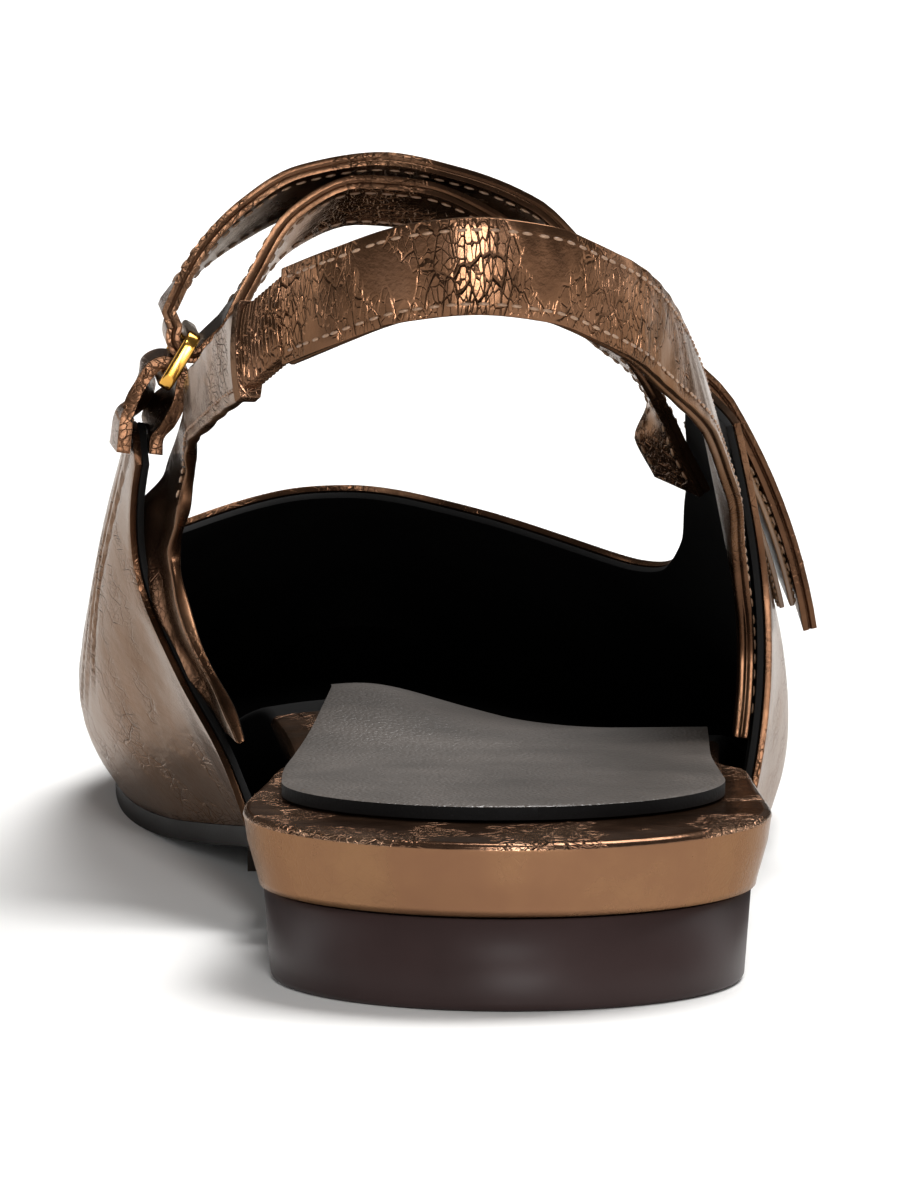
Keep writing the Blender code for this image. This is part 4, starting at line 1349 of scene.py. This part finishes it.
def bar_turn(thickness):
    """Radius of the middle line of a strap of this thickness round one bar of the ring."""
    corner = math.hypot(RING_BAR, RING_THICKNESS) / 2
    return corner + CLEARANCE + thickness / 2


def strap_frames():
    """Middle points and half widths along the whole strap: lower layer, turn round the bar, upper layer."""
    centre, down, outward = ring_frame()
    bar = centre - down * (RING_WIDTH - RING_BAR) / 2
    radius = bar_turn(STRAP_THICKNESS)
    half = FORWARD * INSTEP_STRAP_WIDTH / 2
    inside = UPPER_WALL + CLEARANCE + STRAP_THICKNESS / 2
    stack = 2 * TAPE_THICKNESS + 3 * CLEARANCE + STRAP_THICKNESS / 2
    frames = strip_frames(LOWER_LAYER, 1, (inside, stack), [i / LOWER_STEPS for i in range(LOWER_STEPS + 1)])
    for step in range(TURN_STEPS + 1):
        angle = math.pi * step / TURN_STEPS
        middle = bar - outward * radius * math.cos(angle) + down * radius * math.sin(angle)
        frames.append((middle, half))
    return frames + strip_frames(
        UPPER_LAYER, 1, (inside, stack), [i / UPPER_STEPS for i in range(UPPER_STEPS + 1)]
    )


def strip_frames(rows, side, depths, shares):
    """Middle points and half widths of the instep strap at these shares of one of its layers."""
    frames = []
    for share in shares:
        low, high = strip_edges(rows, share, INSTEP_STRAP_WIDTH, side, depths)
        frames.append(((low + high) / 2, (high - low) / 2))
    return frames


STRAP_FRAMES = strap_frames()
TURN_START = (LOWER_STEPS + 1) / (len(STRAP_FRAMES) - 1)
TURN_END = (LOWER_STEPS + TURN_STEPS + 2) / (len(STRAP_FRAMES) - 1)


def instep_edges(share):
    place = share * (len(STRAP_FRAMES) - 1)
    i = min(int(place), len(STRAP_FRAMES) - 2)
    middle = STRAP_FRAMES[i][0].lerp(STRAP_FRAMES[i + 1][0], place - i)
    wide = STRAP_FRAMES[i][1].lerp(STRAP_FRAMES[i + 1][1], place - i)
    return middle - wide, middle + wide


def make_instep_strap():
    """Both layers of the strap in one piece, with its turn round the ring's bar."""
    mesh = band(8, 300, STRAP_THICKNESS, instep_edges, 0.0, layers=GROOVED_LAYERS)
    return finish_piece("instep_strap_leather", mesh, [BAND_LEATHER, UNDERSIDE_WITH_PAINTED_SHADE, EDGE_LEATHER],
                        "instep_strap", 0.4 * MM)


make_instep_strap()
thread_piece("instep_strap_thread", [
    (instep_edges, across, side, STRAP_THICKNESS, *reach)
    for across in (0.12, 0.88)
    for side in (-1, 1)
    for reach in ((0.02, TURN_START - 0.02), (TURN_END + 0.02, 0.985))
])

# %% Ring


def make_ring():
    """A rectangular ring with rounded corners and a softly rounded section."""
    centre, down, outward = ring_frame()
    half_width = RING_WIDTH / 2 - RING_CORNER
    half_length = RING_LENGTH / 2 - RING_CORNER
    corner_steps = 9
    path = []
    for corner in range(4):
        middle = Vector(((1, -1, -1, 1)[corner] * half_width, (1, 1, -1, -1)[corner] * half_length))
        for step in range(corner_steps):
            angle = math.pi / 2 * (corner + step / (corner_steps - 1))
            path.append((middle, Vector((math.cos(angle), math.sin(angle)))))
    profile_steps = 24
    mesh = bmesh.new()
    bmesh.ops.create_grid(mesh, x_segments=len(path), y_segments=profile_steps, size=0.5)
    for vert in mesh.verts:
        middle, way = path[round((vert.co.x + 0.5) * len(path)) % len(path)]
        angle = 2 * math.pi * round((vert.co.y + 0.5) * profile_steps) / profile_steps
        side = math.copysign(abs(math.cos(angle)) ** 0.45, math.cos(angle)) * RING_BAR / 2
        lift = math.copysign(abs(math.sin(angle)) ** 0.45, math.sin(angle)) * RING_THICKNESS / 2
        flat = middle + way * (RING_CORNER - RING_BAR / 2 + side)
        vert.co = centre + down * flat.x + FORWARD * flat.y + outward * lift
    return finish_piece("ring_gold", mesh, [GOLD], "ring")


make_ring()

# %% Tab
class Fold(NamedTuple):
    """A place on the tab's fold, from the ring's centre, as shares of RING_WIDTH."""

    out: float
    up: float


TAB_OUTER = [Fold(-0.79, -0.81), Fold(-0.667, -0.514)]
TAB_INNER = [Fold(-0.014, -0.75), Fold(-0.167, -1.028)]


def smooth_path(points, share):
    """A point on a smooth curve through the points (Catmull-Rom)."""
    count = len(points) - 1
    place = min(max(share, 0.0), 1.0) * count
    i = min(int(place), count - 1)
    t = place - i
    before = points[i - 1] if i > 0 else points[i] * 2 - points[i + 1]
    after = points[i + 2] if i + 2 <= count else points[i + 1] * 2 - points[i]
    a, b = points[i], points[i + 1]
    square = before * 2 - a * 5 + b * 4 - after
    cube = (a - b) * 3 + after - before
    return a + (b - before) * (t / 2) + square * (t * t / 2) + cube * (t**3 / 2)


def tab_sides():
    """The two long edges of the tab, from its outer leg round the ring's lower bar to its inner leg."""
    centre, down, outward = ring_frame()
    bar = centre + down * (RING_WIDTH - RING_BAR) / 2
    radius = bar_turn(TAB_THICKNESS)
    top = last(centre.y, follow(TOP_EDGE, -0.95, "around")).z
    out_lift = CLEARANCE + TAB_THICKNESS / 2
    in_lift = -(UPPER_WALL + out_lift)
    turn = []
    for step in range(5):
        angle = math.pi * step / 4
        turn.append(bar + outward * radius * math.cos(angle) - down * radius * math.sin(angle))
    outer = [centre + Vector((fold.out, 0.0, fold.up)) * RING_WIDTH for fold in TAB_OUTER]
    inner = [centre + Vector((fold.out, 0.0, fold.up)) * RING_WIDTH for fold in TAB_INNER]
    sides = []
    for sign in (-1, 1):
        half = FORWARD * sign * TAB_WIDTH / 2
        y = centre.y + half.y
        path = [side_of_last(y, height, -1, out_lift) for height in (top - TAB_LEG, top)]
        pinch = Vector((TAB_PINCH if sign > 0 else 0.0, 0.0, 0.0))
        path += [point + half + pinch for point in outer]
        path += [point + half for point in turn]
        path += [point + half - pinch for point in inner]
        path += [side_of_last(y, height, -1, in_lift) for height in (top - TAB_THICKNESS, top - TAB_LEG)]
        sides.append(path)
    return sides


TAB_SIDES = tab_sides()


def tab_edges(share):
    return smooth_path(TAB_SIDES[0], share), smooth_path(TAB_SIDES[1], share)


def make_tab():
    """The folded loop that holds the ring on the inner quarter."""
    mesh = band(10, 110, TAB_THICKNESS, tab_edges, 0.05 * MM)
    return finish_piece("ring_tab_leather", mesh, [BAND_LEATHER, UNDERSIDE_WITH_PAINTED_SHADE, EDGE_LEATHER],
                        "ring_tab", 0.3 * MM)


def across_tab(share):
    """A narrow band across the tab's outer leg, for the stitches that hold it."""
    low, high = tab_edges(0.085)
    along = (tab_edges(0.11)[0] - low).normalized() * 0.4 * MM
    middle = low.lerp(high, share)
    return middle - along, middle + along


make_tab()
thread_piece("ring_tab_thread", [(across_tab, 0.5, side, TAB_THICKNESS, 0.06, 0.94) for side in (-1, 1)])

# %% [markdown]
# ## Hook and loop tape
# Seen from the side the tape is a row of glossy moulded hooks on one face and brushed loops on the other.
# The hooks are set in rows as on a real tape, but each is drawn larger, since a real one is 0.3 mm wide.

# %% Tapes
TAPE_START = 0.868
TAPE_END = 0.985
BEAD_RADIUS = 0.30 * MM


def tape_edges(lift):
    def edges(share):
        run = mix(TAPE_START, TAPE_END, share)
        low, high = strip_edges(UPPER_LAYER, run, TAPE_WIDTH, 1, (0.0, 0.0))
        return [side_of_last(point.y, point.z, 1, lift) for point in (low, high)]

    return edges


def make_tapes():
    """Both tapes, with their hooks and loops as rows of small glossy beads."""
    hooks = bmesh.new()
    for name, layer in (("loop_tape", 0), ("hook_tape", 1)):
        edges = tape_edges(CLEARANCE + TAPE_THICKNESS / 2 + layer * (TAPE_THICKNESS + CLEARANCE))
        mesh = band(6, 60, TAPE_THICKNESS - 0.3 * MM, edges, 0.0)
        finish_piece(name + "_web", mesh, [TAPE, TAPE, TAPE], name, 0.15 * MM)
        rows = 26
        columns = 9
        for i in range(rows):
            share = (i + 0.5) / rows
            low, high, _, normal = band_frame(edges, share)
            for j in range(columns):
                point = low.lerp(high, (j + 0.5) / columns)
                point += normal * (BEAD_RADIUS if layer == 0 else -BEAD_RADIUS)
                size = Matrix.Diagonal((BEAD_RADIUS, BEAD_RADIUS, BEAD_RADIUS * 34 / 30, 1.0))
                bmesh.ops.create_uvsphere(
                    hooks, u_segments=6, v_segments=4, radius=1.0, matrix=Matrix.Translation(point) @ size
                )
    return finish_piece("tape_hooks", hooks, [TAPE])


make_tapes()

# %% [markdown]
# ## Size of the dressed shoe
# The CAD's box and the box of the visual pieces are printed side by side; soft leather may stand a little
# proud of the CAD's box.

# %% Print the sizes
dressed_low, dressed_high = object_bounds()
sizes = {
    "cad": [list(CAD_LOW), list(CAD_HIGH)],
    "visual": [list(dressed_low), list(dressed_high)],
}
for label, (low, high) in sizes.items():
    print(label, [round((b - a) / MM, 1) for a, b in zip(low, high)], "mm")
